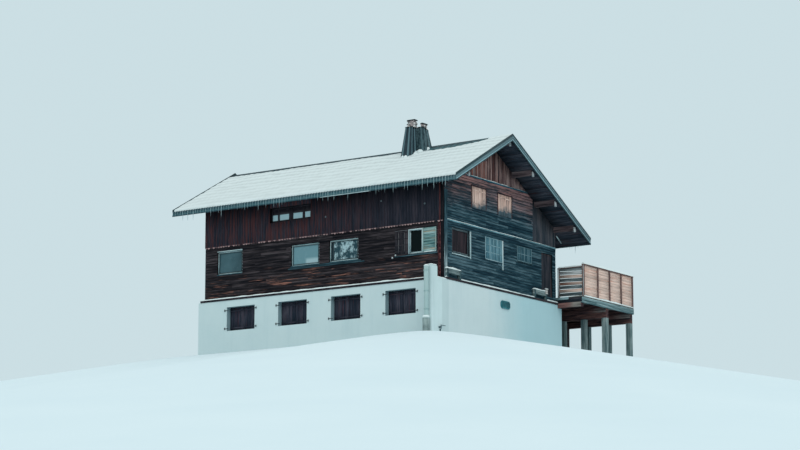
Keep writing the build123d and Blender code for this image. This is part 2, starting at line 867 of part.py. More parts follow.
beam_start = -terrace_front + terrace_rim_thickness
beam_bottom = deck_bottom - terrace_beam_depth
beam_spacing = (terrace_length - terrace_rim_thickness - terrace_beam_width) / (terrace_beam_count - 1)
terrace_beam_places = [terrace_left + beam_spacing * n for n in range(terrace_beam_count)]
with BuildPart() as terrace_beams:
    with BuildSketch(floor_at(beam_bottom)):
        for place in terrace_beam_places:
            draw([(place, beam_start, terrace_beam_width, terrace_back - beam_start)])
    extrude(amount=terrace_beam_depth)
    with BuildSketch(floor_at(beam_bottom - lower_beam_depth)):
        for place in terrace_beam_places[1:]:
            draw([(place, beam_start, terrace_beam_width, terrace_back - beam_start)])
    extrude(amount=lower_beam_depth)
finish(terrace_beams.part, "terrace_beams")

post_rows = int((terrace_back - beam_start - terrace_post_size) // terrace_post_spacing) + 1
with BuildPart() as terrace_posts:
    with BuildSketch(floor_at(ground)):
        for place in terrace_beam_places[1:]:
            for row in range(post_rows):
                post_y = beam_start + terrace_post_spacing * row
                draw([(place, post_y, terrace_post_size, terrace_post_size)])
    extrude(amount=beam_bottom - lower_beam_depth - ground)
finish(terrace_posts.part, "terrace_posts")

with BuildPart() as terrace_back_boards:
    with BuildSketch(gable_at(terrace_back)):
        back_boards_end = terrace_right - terrace_rim_thickness
        draw([(masonry_right, ground, back_boards_end - masonry_right, deck_bottom - ground)])
    extrude(amount=-rail_panel_thickness)
finish(terrace_back_boards.part, "terrace_back_boards")

# Railing: posts, boarded bays along the front, a slatted screen along the house side, and caps
rail_top = terrace_deck_top + rail_height
rail_start = terrace_left + rail_inset
second_post = rail_start + rail_first_bay
later_bay = (terrace_right - rail_post - second_post) / (rail_bays - 1)
rail_post_places = [rail_start, *(second_post + later_bay * n for n in range(rail_bays))]
side_rail_height = rail_height - side_rail_drop
with BuildPart() as rail_frame:
    with BuildSketch(floor_at(terrace_deck_top)):
        draw([(x, -terrace_front, rail_post, rail_post) for x in rail_post_places])
    extrude(amount=rail_height)
    with BuildSketch(floor_at(terrace_deck_top)):
        draw([(rail_start, -rail_post, rail_post, rail_post)])
    extrude(amount=side_rail_height)
    with BuildSketch(floor_at(rail_top)):
        cap_depth = rail_post + 2 * rail_cap_reach
        draw([(rail_start, -terrace_front - rail_cap_reach, terrace_right - rail_start, cap_depth)])
    extrude(amount=rail_cap_thickness)
    with BuildSketch(floor_at(rail_top - side_rail_drop)):
        draw([(rail_start, rail_post - terrace_front, rail_post, terrace_front - rail_post)])
    extrude(amount=rail_cap_thickness)
finish(rail_frame.part, "rail_frame")

with BuildPart() as front_rail_boards:
    with BuildSketch(gable_at(-terrace_front + (rail_post - rail_panel_thickness) / 2)):
        panel_foot = terrace_deck_top + rail_panel_foot
        panel_height = rail_height - rail_panel_foot
        for place, following in zip(rail_post_places[:-1], rail_post_places[1:]):
            draw([(place + rail_post, panel_foot, following - place - rail_post, panel_height)])
    extrude(amount=-rail_panel_thickness)
finish(front_rail_boards.part, "front_rail_boards")

slat_pitch = (side_rail_height - rail_panel_foot) / slat_count
with BuildPart() as side_rail_slats:
    with BuildSketch(side_at(rail_start + (rail_post - rail_panel_thickness) / 2)):
        slat_run = terrace_front - 2 * rail_post
        for n in range(slat_count):
            slat_foot = terrace_deck_top + rail_panel_foot + slat_pitch * n
            draw([(-terrace_front + rail_post, slat_foot, slat_run, slat_pitch - slat_gap)])
    extrude(amount=rail_panel_thickness)
finish(side_rail_slats.part, "side_rail_slats")
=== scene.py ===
import math

import bpy
import numpy as np
from bpy.props import FloatProperty, FloatVectorProperty, IntProperty, PointerProperty
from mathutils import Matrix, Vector


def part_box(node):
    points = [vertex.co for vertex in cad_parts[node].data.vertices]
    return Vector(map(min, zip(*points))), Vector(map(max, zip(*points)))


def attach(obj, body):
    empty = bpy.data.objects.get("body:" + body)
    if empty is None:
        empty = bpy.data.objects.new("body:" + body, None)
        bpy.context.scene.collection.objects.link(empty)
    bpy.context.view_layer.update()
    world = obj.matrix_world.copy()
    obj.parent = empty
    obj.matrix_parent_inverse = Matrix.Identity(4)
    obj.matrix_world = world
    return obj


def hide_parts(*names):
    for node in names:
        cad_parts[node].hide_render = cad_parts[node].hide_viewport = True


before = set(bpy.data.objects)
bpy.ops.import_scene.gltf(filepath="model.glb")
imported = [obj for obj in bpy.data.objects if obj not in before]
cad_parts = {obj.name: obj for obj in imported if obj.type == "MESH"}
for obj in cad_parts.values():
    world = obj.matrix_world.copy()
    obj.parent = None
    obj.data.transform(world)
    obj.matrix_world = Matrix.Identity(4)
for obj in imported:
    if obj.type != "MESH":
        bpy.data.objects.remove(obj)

bl_info = {
    "name": "Alpine chalet",
    "version": (1, 0, 0),
    "blender": (4, 5, 0),
    "location": "View3D > Sidebar > Chalet",
    "description": "Dresses the chalet's solids with boards, snow, sheets, shutters and a terrace",
    "category": "Object",
}

# House measures in metres: x along the gable from its left corner, y back along the eaves, z above the ledge.
LEDGE_DROP = 0.18
WALL_INSETS = 0.32
HOUSE = np.array([*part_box("front_lower_wall")[0][:2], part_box("sill_boards")[0][2] + LEDGE_DROP])
WIDTH, LENGTH = (np.array(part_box("living_floor")[1]) - np.array(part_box("living_floor")[0]))[:2] + WALL_INSETS
PITCH = math.radians(28.6)
RIDGE_X, RIDGE_Z = 3.77, 6.78
RISE, UPRIGHT = math.tan(PITCH), 1 / math.cos(PITCH)
EAVE_LEFT, EAVE_RIGHT = -0.97, WIDTH + 1.17
SLOPES = (EAVE_LEFT, 1), (EAVE_RIGHT, -1)
VERGE = 1.25
DECK_DROP = 0.12 * UPRIGHT
SHEET_LIFT = 0.022
MID_BAND, TOP_BAND, BAND = 2.51, 4.80, 0.06
SILL_TOP, GROUND = -0.08, -2.7
BOARDS_START = 7.54
TERRACE_END, TERRACE_FRONT = WIDTH + 5.0, -1.44
DECK_TOP, RAIL_TOP = 0.17, 1.67
RAIL_POSTS = [WIDTH + place for place in (0.20, 1.53, 2.6567, 3.7833, 4.91)]
LOG_GAP, JOINT = 0.016, 0.005

# The camera's place in the frame, its yaw and pitch in degrees, its lens and film width in millimetres
CAMERA_PLACE, CAMERA_TURN = (-96.297, -65.5895, -14.474), (55.673, 10.256)
LENS, FILM = 110.66, 36.0

# Openings on each face as left, foot, width and height
GABLE_LOW = [(0.61, 1.10, 1.46, 1.17), (3.35, 1.17, 1.46, 1.06), (6.10, 1.48, 1.30, 0.72)]
GABLE_HIGH = [(x, 3.40, 1.15, 0.98) for x in (2.265, 4.50)]
DOORWAY = (8.31, 0.15, 1.01, 2.02)
LEFT_LOW = [(0.40, 1.14, 1.48, 1.09), (4.66, 1.15, 1.61, 1.00), (6.85, 1.15, 1.60, 1.00),
            (11.30, 1.14, 1.48, 1.09)]
ROW_WINDOW = (7.29, 3.30, 2.36, 0.70)
ROW_PANES = ((7.43, 7.72), (7.86, 8.40), (8.64, 9.18), (9.29, 9.58))
MASONRY_WINDOWS = [(1.285 + 3.0 * n, -1.62, 1.64, 1.12) for n in range(4)]
RIGHT_WINDOWS = [(y, 1.17, 1.46, 1.06) for y in (4.70, 7.30, LENGTH - 2.90)]
BACK_WINDOWS = [(x, 1.17, 1.46, 1.06) for x in (1.3, 4.1, 6.9)] + GABLE_HIGH


def roof_z(x):
    """Height of the roof deck's top at x: ridge height less the rise times the distance from the ridge."""
    return RIDGE_Z - RISE * np.abs(np.asarray(x, float) - RIDGE_X)


def under_roof(x):
    """Height of the roof deck's underside at x."""
    return float(roof_z(x)) - DECK_DROP


def gable_reach(z):
    """Half the width of the gable below the deck at height z: the drop from the ridge over the rise."""
    return (RIDGE_Z - DECK_DROP - z) / RISE


# Mesh tools


class Shape:
    """Collects parts of one piece as arrays, with each point's place in the grain and each part's tone."""

    def __init__(self, seed=1):
        self.random = np.random.default_rng(seed)
        self.points, self.faces, self.grain, self.tone = [], [], [], []
        self.count = 0

    def add(self, points, faces, grain=None, tone=None):
        """Adds points (n, 3) and faces, one array for each number of corners."""
        points = np.asarray(points, float).reshape(-1, 3)
        self.faces += [np.asarray(part, np.int64) + self.count for part in faces]
        self.points.append(points)
        self.grain.append(points if grain is None else np.asarray(grain, float).reshape(-1, 3))
        self.tone.append(np.broadcast_to(0.5 if tone is None else tone, len(points)))
        self.count += len(points)

    def bars(self, start, end, side, out, profile, slant=(0.0, 0.0), tone=None):
        """Straight bars: point = start + t (end - start) + a side + b out, with (a, b) round the profile.

        Start and end are (n, 3), and the profile is (k, 2) or (n, k, 2), anticlockwise in side and out.
        An end is cut on the slant by moving it along the bar by slant times a.
        """
        start, end = np.atleast_2d(start).astype(float), np.atleast_2d(end).astype(float)
        n = len(start)
        side, out = [np.broadcast_to(np.asarray(v, float), (n, 3)) for v in (side, out)]
        profile = np.asarray(profile, float)
        profile = np.broadcast_to(profile, (n,) + profile.shape[-2:]).copy()
        k = profile.shape[1]
        length = np.linalg.norm(end - start, axis=1)
        axis = (end - start) / length[:, None]
        left_handed = np.einsum("ij,ij->i", np.cross(side, out), axis) < 0
        profile[left_handed] = profile[left_handed][:, ::-1]
        a, b = profile[..., 0:1], profile[..., 1:2]
        section = side[:, None] * a + out[:, None] * b
        first, last = [np.broadcast_to(np.asarray(s, float), n)[:, None, None] for s in slant]
        rings = [start[:, None] + section + axis[:, None] * a * first,
                 end[:, None] + section + axis[:, None] * a * last]
        shift = self.random.uniform(0, 50, (n, 1, 1))
        grain0 = np.concatenate([np.zeros_like(a) + shift, a + shift * 0.7, b + shift * 1.3], axis=2)
        grain1 = grain0.copy()
        grain1[..., 0] += length[:, None]
        if tone is None:
            tone = self.random.uniform(0, 1, n)
        tone = np.repeat(np.broadcast_to(tone, n), 2 * k)
        base = (np.arange(n) * 2 * k)[:, None]
        j = np.arange(k)
        after = (j + 1) % k
        quads = np.stack([base + j, base + after, base + k + after, base + k + j], axis=-1).reshape(-1, 4)
        faces = [quads, base + j[::-1], base + k + j]
        self.add(np.stack(rings, axis=1), faces, np.stack([grain0, grain1], axis=1), tone)

    def sheet(self, top, bottom=None, tone=None):
        """A grid of points (m, n, 3), closed to a second grid of the same size below it when one is given."""
        m, n = top.shape[:2]
        index = np.arange(m * n).reshape(m, n)
        quads = np.stack([index[:-1, :-1], index[1:, :-1], index[1:, 1:], index[:-1, 1:]],
                         axis=-1).reshape(-1, 4)
        if bottom is None:
            self.add(top, [quads])
            return
        rim = np.concatenate([index[0, :-1], index[:-1, -1], index[-1, :0:-1], index[:0:-1, 0]])
        after = np.roll(rim, -1)
        wall = np.stack([rim, after, after + m * n, rim + m * n], axis=-1)
        faces = np.concatenate([quads, quads[:, ::-1] + m * n, wall])
        both = np.concatenate([top.reshape(-1, 3), bottom.reshape(-1, 3)])
        self.add(both, [faces], None, None if tone is None else np.tile(tone.ravel(), 2))

    def rings(self, points, tone=None):
        """Rings of points (m, k, 3), joined each to the next and closed at both ends."""
        m, k = points.shape[:2]
        index = np.arange(m * k).reshape(m, k)
        beside = np.roll(index, -1, axis=1)
        quads = np.stack([index[:-1], beside[:-1], beside[1:], index[1:]], axis=-1).reshape(-1, 4)
        self.add(points, [quads, index[:1, ::-1], index[-1:]], None, tone)

    def turned(self, centre, axis, radii, heights, sides=12):
        """A turned form: at each height along the axis a ring of the given radius."""
        axis = np.asarray(axis, float)
        across = np.cross(axis, (0.0, 0.0, 1.0) if abs(axis[2]) < 0.9 else (1.0, 0.0, 0.0))
        other = np.cross(axis, across)
        turn = np.linspace(0, 2 * math.pi, sides, endpoint=False)
        ring = np.cos(turn)[:, None] * across + np.sin(turn)[:, None] * other
        radii, heights = np.asarray(radii, float), np.asarray(heights, float)
        self.rings(np.asarray(centre, float) + heights[:, None, None] * axis + radii[:, None, None] * ring)

    def link(self, name, look, smooth=None):
        """Turns the collected parts into one mesh object of the scene, smoothed up to an angle in degrees."""
        mesh = bpy.data.meshes.new(name)
        points = np.concatenate(self.points) + HOUSE
        loops = np.concatenate([part.ravel() for part in self.faces])
        sizes = np.concatenate([np.full(len(part), part.shape[1]) for part in self.faces])
        mesh.vertices.add(len(points))
        mesh.vertices.foreach_set("co", points.ravel())
        mesh.loops.add(len(loops))
        mesh.loops.foreach_set("vertex_index", loops.astype(np.int32))
        mesh.polygons.add(len(sizes))
        starts = np.concatenate([[0], np.cumsum(sizes)[:-1]])
        mesh.polygons.foreach_set("loop_start", starts.astype(np.int32))
        mesh.update(calc_edges=True)
        grain = mesh.attributes.new("grain", "FLOAT_VECTOR", "POINT")
        grain.data.foreach_set("vector", np.concatenate(self.grain).ravel())
        tone = mesh.attributes.new("tone", "FLOAT", "POINT")
        tone.data.foreach_set("value", np.concatenate(self.tone).astype(float))
        if smooth is not None:
            mesh.shade_smooth()
            mesh.set_sharp_from_angle(angle=math.radians(smooth))
        mesh.materials.append(look.material)
        piece = bpy.data.objects.new(name, mesh)
        bpy.context.scene.collection.objects.link(piece)
        return piece

    def make(self, name, look, slot, stands_for=None, smooth=None, body="house"):
        """Makes the piece, which rides on a body, has the look's material and may stand for a solid. The slot is
        not used.
        """
        piece = self.link(name, look, smooth)
        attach(piece, body)
        if stands_for:
            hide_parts(stands_for)


def half_sizes(width, thickness):
    """Half the width and the thickness, shaped so that a section can be made of them for each board."""
    sizes = np.broadcast_arrays(np.divide(width, 2), np.asarray(thickness, float))
    return [size[..., None, None] for size in sizes]


def plank(width, thickness, bevel=0.004):
    """Section of a planed board, flat behind and with its two front edges taken off."""
    w, t = half_sizes(width, thickness)
    across, trim_across, out, trim_out = np.array([
        (-1.0, 1, 1, 1, -1, -1), (0.0, 0, 0, -1, 1, 0), (0.0, 0, 1, 1, 1, 1), (0.0, 0, -1, 0, 0, -1),
    ])[..., None]
    return np.concatenate([across * w + trim_across * bevel, out * t + trim_out * bevel], axis=-1)


def log(width, thickness, steps=5):
    """Section of a log's outer face: flat behind, and in front half a flat ellipse."""
    w, t = half_sizes(width, thickness)
    turn = np.linspace(0.0, math.pi, steps)
    across = np.concatenate([[-1.0, 1.0], np.cos(turn)])[:, None]
    out = np.concatenate([[0.0, 0.0], 0.25 + 0.75 * np.sin(turn)])[:, None]
    return np.concatenate([across * w, out * t], axis=-1)


def cut(cells, openings, gap=0.004, thin=0.012):
    """Cells (u0, u1, v0, v1) cut round openings (u, v, width, height). Pieces beside keep their height."""
    for u, v, width, height in openings:
        a, b, c, d = u - gap, u + width + gap, v - gap, v + height + gap
        kept = []
        for u0, u1, v0, v1 in cells:
            if a >= u1 or b <= u0 or c >= v1 or d <= v0:
                kept.append((u0, u1, v0, v1))
                continue
            inner = max(u0, a), min(u1, b)
            parts = [(u0, a, v0, v1), (b, u1, v0, v1), (*inner, v0, c), (*inner, d, v1)]
            kept += [p for p in parts if p[1] - p[0] > thin and p[3] - p[2] > thin]
        cells = kept
    return cells


def courses(u0, u1, v0, v1, height, lengths, random):
    """Rows of boards from v0 to v1, each broken into random lengths along u."""
    edges = np.linspace(v0, v1, max(1, round((v1 - v0) / height)) + 1)
    cells = []
    for low, high in zip(edges[:-1], edges[1:]):
        u = u0 - random.uniform(0, lengths[1])
        while u < u1:
            following = u + random.uniform(*lengths)
            if min(following, u1) - max(u, u0) > 0.05:
                cells.append((max(u, u0), min(following, u1), low, high))
            u = following
    return cells


def pairs(values):
    """Each value with the next one."""
    return zip(values[:-1], values[1:])


class Face:
    """A wall face: u along it, v up from the ledge, and out away from the house."""

    up = np.array([0.0, 0.0, 1.0])

    def __init__(self, point, along, out):
        self.point, self.along, self.out = [np.asarray(v, float) for v in (point, along, out)]

    def at(self, u, v, off=0.0):
        """Points at u and v on the face, and off it by a distance outwards."""
        u, v, off = [np.asarray(q, float)[..., None] for q in np.broadcast_arrays(u, v, off)]
        return self.point + u * self.along + v * self.up + off * self.out

    def rows(self, shape, cells, depth, off=0.0, gap=0.0, profile=plank, slant=(0, 0), tone=None):
        """Level boards on the face, one for each cell."""
        u0, u1, v0, v1 = np.array(cells).T
        middle = (v0 + v1) / 2
        ends = self.at(u0, middle, off), self.at(u1, middle, off)
        shape.bars(*ends, self.up, self.out, profile(v1 - v0 - gap, depth), slant, tone)

    def columns(self, shape, cells, depth, off=0.0, gap=0.0, slant=(0, 0), tone=None):
        """Upright boards on the face, one for each cell."""
        u0, u1, v0, v1 = np.array(cells).T
        middle = (u0 + u1) / 2
        ends = self.at(middle, v0, off), self.at(middle, v1, off)
        shape.bars(*ends, self.along, self.out, plank(u1 - u0 - gap, depth), slant, tone)

    def ring(self, shape, opening, width, depth, off=0.0, grow=0.0):
        """Four boards round an opening, outside it for a positive grow."""
        u, v, w, h = opening
        a, b, c, d = u - grow, u + w + grow, v - grow, v + h + grow
        self.columns(shape, [(a, a + width, c, d), (b - width, b, c, d)], depth, off)
        for low in (c, d - width):
            self.rows(shape, [(a + width, b - width, low, low + width)], depth, off)

    def gable_rows(self, shape, cells, depth, gap):
        """Logs of a gable, one by one, their ends cut along the roof where they meet it."""
        for u0, u1, v0, v1 in cells:
            reach = gable_reach((v0 + v1) / 2)
            start, end = max(u0, RIDGE_X - reach), min(u1, RIDGE_X + reach)
            slant = (1 / RISE if start > u0 else 0.0, -1 / RISE if end < u1 else 0.0)
            if end - start > 0.2:
                self.rows(shape, [(start, end, v0, v1)], depth, 0.0, gap, log, slant)


def front_face(y, z=0.0):
    """A face at y that looks to the front."""
    return Face((0, y, z), (1, 0, 0), (0, -1, 0))


def side_face(x, way=-1):
    """A face at x that looks to the left, or to the right for a way of 1."""
    return Face((x, 0, 0), (0, 1, 0), (way, 0, 0))


MASONRY_FRONT = -0.12
GABLE, BACK = front_face(0), Face((0, LENGTH, 0), (1, 0, 0), (0, 1, 0))
LEFT, LEFT_UPPER, MASONRY_LEFT = [side_face(x) for x in (0, -0.06, -0.35)]
RIGHT = side_face(WIDTH, 1)


def waves(points, seed, scales, amounts):
    """Smooth uneven heights: a sum of sines along seeded directions, one set for each scale."""
    random = np.random.default_rng(seed)
    total = np.zeros(points.shape[:-1])
    for scale, amount in zip(scales, amounts):
        for _ in range(4):
            direction = random.normal(size=points.shape[-1])
            direction *= 2 * math.pi / (scale * np.linalg.norm(direction))
            total += amount / 2 * np.sin(points @ direction + random.uniform(0, 2 * math.pi))
    return total


# Material tools


def node(tree, kind, inputs=None, **settings):
    """Adds one shader node. Inputs are given by name or number, as values or as another node's output."""
    made = tree.nodes.new("ShaderNode" + kind)
    for key, value in settings.items():
        setattr(made, key, value)
    for key, value in (inputs or {}).items():
        socket = made.inputs[key]
        if isinstance(value, bpy.types.NodeSocket):
            tree.links.new(value, socket)
        else:
            socket.default_value = (*value[:3], 1.0) if socket.type == "RGBA" else value
    return made


class Look:
    """A material with one Principled shader, whose uniform values go on the shader's own sockets."""

    def __init__(self, name, roughness=0.7, metallic=0.0, specular=0.08, **uniform):
        self.material = bpy.data.materials.new(name)
        self.material.use_nodes = True
        self.tree = self.material.node_tree
        self.sockets = self.tree.nodes["Principled BSDF"].inputs
        values = {"Roughness": roughness, "Metallic": metallic, "Specular IOR Level": specular, **uniform}
        for key, value in values.items():
            self.sockets[key.replace("_", " ")].default_value = value

    def node(self, kind, inputs=None, **settings):
        """Adds one node to the material."""
        return node(self.tree, kind, inputs, **settings)

    def math(self, operation, *values, clamp=False):
        """One calculation on numbers or outputs."""
        return self.node("Math", dict(enumerate(values)), operation=operation, use_clamp=clamp).outputs[0]

    def times(self, first, second):
        """The product of two numbers or outputs."""
        return self.math("MULTIPLY", first, second)

    def mix(self, factor, first, second, blend="MIX"):
        """Mixes two colours by a factor."""
        inputs = {0: factor, 6: first, 7: second}
        return self.node("Mix", inputs, data_type="RGBA", blend_type=blend).outputs[2]

    def coordinates(self):
        """The surface's place in the frame."""
        return self.node("TexCoord").outputs["Object"]

    def attribute(self, name):
        """The tone or the grain that the mesh carries."""
        return self.node("Attribute", attribute_name=name).outputs["Fac" if name == "tone" else "Vector"]

    def place(self, scale=(1, 1, 1), source=None):
        """Coordinates stretched by a scale on each axis."""
        return self.node("Mapping", {"Vector": source or self.coordinates(), "Scale": scale}).outputs[0]

    def noise(self, vector, scale, detail=4.0, roughness=0.55):
        """Soft noise from 0 to 1."""
        inputs = {"Vector": vector, "Scale": scale, "Detail": detail, "Roughness": roughness}
        return self.node("TexNoise", inputs).outputs[0]

    def spread(self, value, low, high):
        """Stretches the part of a value between low and high to 0 and 1."""
        return self.node("MapRange", {"Value": value, "From Min": low, "From Max": high},
                         clamp=True).outputs[0]

    def within(self, value, low, high, soft=0.01):
        """1 where a value lies between low and high, else 0, with soft edges."""
        return self.times(self.spread(value, low - soft, low), self.spread(value, high + soft, high))

    def local(self, axis):
        """One coordinate of the surface in house measures."""
        part = self.node("SeparateXYZ", {0: self.coordinates()}).outputs[axis]
        return self.math("SUBTRACT", part, float(HOUSE[axis]))

    def loosened(self, axis, amount):
        """A coordinate made uneven by soft noise."""
        loose = self.math("SUBTRACT", self.noise(self.coordinates(), 1.1, 4, 0.65), 0.5)
        return self.math("MULTIPLY_ADD", loose, amount, self.local(axis))

    def ramp(self, factor, *stops):
        """Colour ramp through (place, colour) stops."""
        made = self.node("ValToRGB", {"Fac": factor})
        elements = made.color_ramp.elements
        while len(elements) < len(stops):
            elements.new(0.5)
        for element, (place, shade) in zip(elements, stops):
            element.position = place
            element.color = (*shade[:3], 1.0)
        return made.outputs[0]

    def join(self, **outputs):
        """Joins outputs to the shader's sockets."""
        for key, value in outputs.items():
            self.tree.links.new(value, self.sockets[key.replace("_", " ")])

    def bump(self, height, strength, distance):
        """Joins a bump of a height to the shader."""
        inputs = {"Height": height, "Strength": strength, "Distance": distance}
        self.join(Normal=self.node("Bump", inputs).outputs[0])


def timber(name, dark, middle, light, along=None, tone=0.5, accent=None, fade=None, rough=0.85,
           wear=0.5, streak=1.0):
    """Weathered wood: long fibres over slow stains, three colours, a tone for each board.

    along is None for boards that carry their own grain, or the axis 0, 1 or 2 that a solid's grain follows.
    accent is a colour, the share of streaks that take it, and perhaps an axis and two places between which
    it grows. fade is a second middle colour, an axis and the two places between which it takes over.
    """
    look = Look(name, rough)
    grain = look.attribute("grain") if along is None else look.coordinates()
    axis = along or 0
    long, slow = [
        look.place([fine if n != axis else coarse for n in range(3)], grain)
        for fine, coarse in ((17.0 * streak, 1.1), (3.2 * streak, 0.35))
    ]
    fibres = look.noise(long, 1.0, 5, 0.7)
    level = look.math("MULTIPLY_ADD", fibres, 0.68, look.times(look.noise(slow, 1.0, 3), 0.32))
    if along is None:
        level = look.math("MULTIPLY_ADD", look.math("SUBTRACT", look.attribute("tone"), 0.5),
                          tone * 0.13, level)
    shade = look.ramp(level, (0.38, dark), (0.49, middle), (0.62, light))
    if fade:
        second, axis, low, high = fade
        lit = look.mix(1.0, shade, [v / max(m, 0.004) for v, m in zip(second, middle)], "MULTIPLY")
        shade = look.mix(look.spread(look.loosened(axis, 1.2), low, high), shade, lit)
    if accent:
        edge = 0.66 - 0.28 * accent[1]
        amount = look.spread(look.noise(long, 0.55, 4, 0.7), edge, edge + 0.10)
        if len(accent) > 2:
            amount = look.times(amount, look.spread(look.loosened(accent[2], 0.8), *accent[3:]))
        shade = look.mix(amount, shade, accent[0])
    look.join(Base_Color=shade)
    look.bump(look.math("ADD", fibres, level), 0.35 * wear + 0.1, 0.006)
    return look


def plaster(name, shade, stain, amount=0.35, bump=0.35, far_shade=None, reveal_shade=None):
    """Rough render: fine grain, soft clouds of stain, drip marks, and perhaps painted shade further along x.

    The second colour, given further along x with the two places between which it takes over, is painted shade;
    the one given for the sides of the left wall's openings, away from the wall's ends, is the same, as painted
    shade in the reveals.
    """
    look = Look(name, 0.9, 0.0, 0.05)
    spot = look.place()
    clouds = look.noise(spot, 0.6, 5, 0.6)
    drips = look.noise(look.place((5.0, 5.0, 0.35)), 1.0, 4, 0.6)
    grains = look.noise(spot, 60.0, 3, 0.6)
    # painted shade: further along x the render takes the darker second colour
    if far_shade:
        shade = look.mix(look.spread(look.loosened(0, 1.5), *far_shade[1:]), shade, far_shade[0])
    # painted shade in the reveals: the sides of the left wall's openings take a darker colour
    if reveal_shade:
        inside = look.times(look.spread(look.local(0), *reveal_shade[1:]),
                            look.within(look.local(1), 0.5, LENGTH - 0.5))
        shade = look.mix(inside, shade, reveal_shade[0])
    level = look.math("ADD", look.spread(clouds, 0.42, 0.8), look.spread(drips, 0.5, 0.9))
    shade = look.mix(look.math("MULTIPLY", level, amount, clamp=True), shade, stain)
    look.join(Base_Color=look.mix(look.times(grains, 0.10), shade, [c * 0.6 for c in stain]))
    look.bump(look.math("ADD", grains, look.times(clouds, 2.0)), bump, 0.004)
    return look


def snow_look(name, light, shade):
    """Settled snow: soft noise patches slightly darker, painted shade where the mesh's tone is low, a fine grain
    in the bump.
    """
    look = Look(name, 0.85, 0.0, 0.05)
    spot = look.place()
    level = look.times(look.spread(look.noise(spot, 1.3, 5, 0.6), 0.4, 0.8), 0.3)
    level = look.math("ADD", level, look.math("SUBTRACT", 0.5, look.attribute("tone")), clamp=True)
    look.join(Base_Color=look.mix(level, light, shade))
    look.bump(look.noise(spot, 22.0, 5, 0.7), 0.3, 0.01)
    return look


def metal(name, shade, worn, roughness=0.5, metallic=0.0, scale=3.0, toned=None, wear=1.0, below=None):
    """Painted sheet: faded patches, streaks down the surface and uneven gloss.

    toned is a second colour for the parts of high tone, wear the share of the worn colour, and below another
    colour with the height under which it takes over.
    """
    look = Look(name, roughness, metallic, 0.25)
    patches = look.noise(look.place(), scale, 5, 0.6)
    level = look.times(patches, look.noise(look.place((14, 14, 0.8)), 1.0, 4, 0.6))
    if toned:
        shade = look.mix(look.attribute("tone"), shade, toned)
    if below:
        shade = look.mix(look.spread(look.local(2), below[1], below[1] - 0.02), shade, below[0])
    shade = look.mix(look.times(look.spread(level, 0.18, 0.42), wear), shade, worn)
    look.join(Base_Color=shade, Roughness=look.math("MULTIPLY_ADD", patches, 0.3, roughness - 0.1))
    look.bump(patches, 0.12, 0.004)
    return look


def stonework(name, tints, joint, scale=7.0):
    """Rubble: cells of several colours with pale joints between them."""
    look = Look(name, 0.9)
    spot = look.place()
    wobble = look.mix(0.12, spot, look.node("TexNoise", {"Vector": spot, "Scale": 6.0}).outputs[1])
    cells = {"Vector": wobble, "Scale": scale}
    pick = look.node("SeparateXYZ", {0: look.node("TexVoronoi", cells).outputs["Color"]}).outputs[0]
    shade = look.ramp(pick, *[(n / (len(tints) - 1), tint) for n, tint in enumerate(tints)])
    edges = look.node("TexVoronoi", cells, feature="DISTANCE_TO_EDGE").outputs["Distance"]
    seam = look.spread(edges, 0.03, 0.1)
    shade = look.mix(seam, joint, shade)
    look.join(Base_Color=look.mix(look.times(look.noise(spot, 30.0), 0.4), shade, (0.02, 0.03, 0.035)))
    look.bump(look.math("ADD", seam, look.noise(spot, 40.0)), 0.6, 0.01)
    return look


def paint(look, *names):
    """Gives solids of the frame a better material."""
    for name in names:
        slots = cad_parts[name].data.materials
        slots.clear()
        slots.append(look.material)


# Sizes and colours that a user would change


def length(name, description, default, least=0.001, most=5.0):
    """A size property in metres."""
    settings = dict(default=default, min=least, max=most, unit="LENGTH", subtype="DISTANCE")
    return FloatProperty(name=name, description=description, **settings)


def colour(name, description, default):
    """A colour property."""
    settings = dict(default=default, size=3, min=0.0, max=1.0, subtype="COLOR")
    return FloatVectorProperty(name=name, description=description, **settings)


class ChaletSizes(bpy.types.PropertyGroup):
    """Sizes of boards, sheets, snow and ice."""

    log_height: length("Log height", "Height of one log of the gable and the left wall", 0.137)
    log_depth: length("Log depth", "How far a log's face stands out of the wall", 0.026)
    board_width: length("Board width", "Width of one upright board", 0.165)
    board_depth: length("Board depth", "Thickness of the upright boards", 0.022)
    sheet_pitch: length("Sheet pitch", "Distance between two waves of the roof sheets", 0.155)
    sheet_wave: length("Sheet wave", "Half the height of the waves of the roof sheets", 0.018)
    snow_depth: length("Snow depth", "Depth of the snow on the roof", 0.09)
    snow_row: length("Snow row", "Distance between the low rows of the roof's snow", 0.46)
    snow_scallop: length("Snow scallop", "Distance between the small scallops along each row", 0.30)
    snow_start: length("Bare eave", "Strip of sheet at the eave without snow", 0.05)
    bare_ridge: length("Bare ridge", "Widest strip of sheet beside the ridge without snow", 0.55)
    icicle_length: length("Icicle length", "Length of the longest icicles below the eave", 0.34)
    icicles: IntProperty(name="Icicles", description="Number of long icicles on each eave", default=54,
                         min=0, max=600)


class ChaletColours(bpy.types.PropertyGroup):
    """Main colours of the chalet."""

    render: colour("Render", "Render of the ground storey", (0.515, 0.650, 0.672))
    snow: colour("Snow", "Snow on the roof and the ledges", (0.635, 0.745, 0.765))
    gable_logs: colour("Gable logs", "Weathered logs of the gable", (0.017, 0.048, 0.068))
    side_logs: colour("Side logs", "Logs of the left wall", (0.020, 0.018, 0.022))
    trim: colour("Trim", "Corner board and bands", (0.022, 0.060, 0.085))
    new_timber: colour("New timber", "Boards of the terrace railing", (0.60, 0.46, 0.40))
    verge: colour("Verge", "Metal along the verges", (0.030, 0.080, 0.098))


def sizes():
    """The scene's size settings."""
    return bpy.context.scene.chalet_sizes


def tint(name):
    """One of the scene's colour settings as numbers."""
    return np.array(getattr(bpy.context.scene.chalet_colours, name))


# Stage


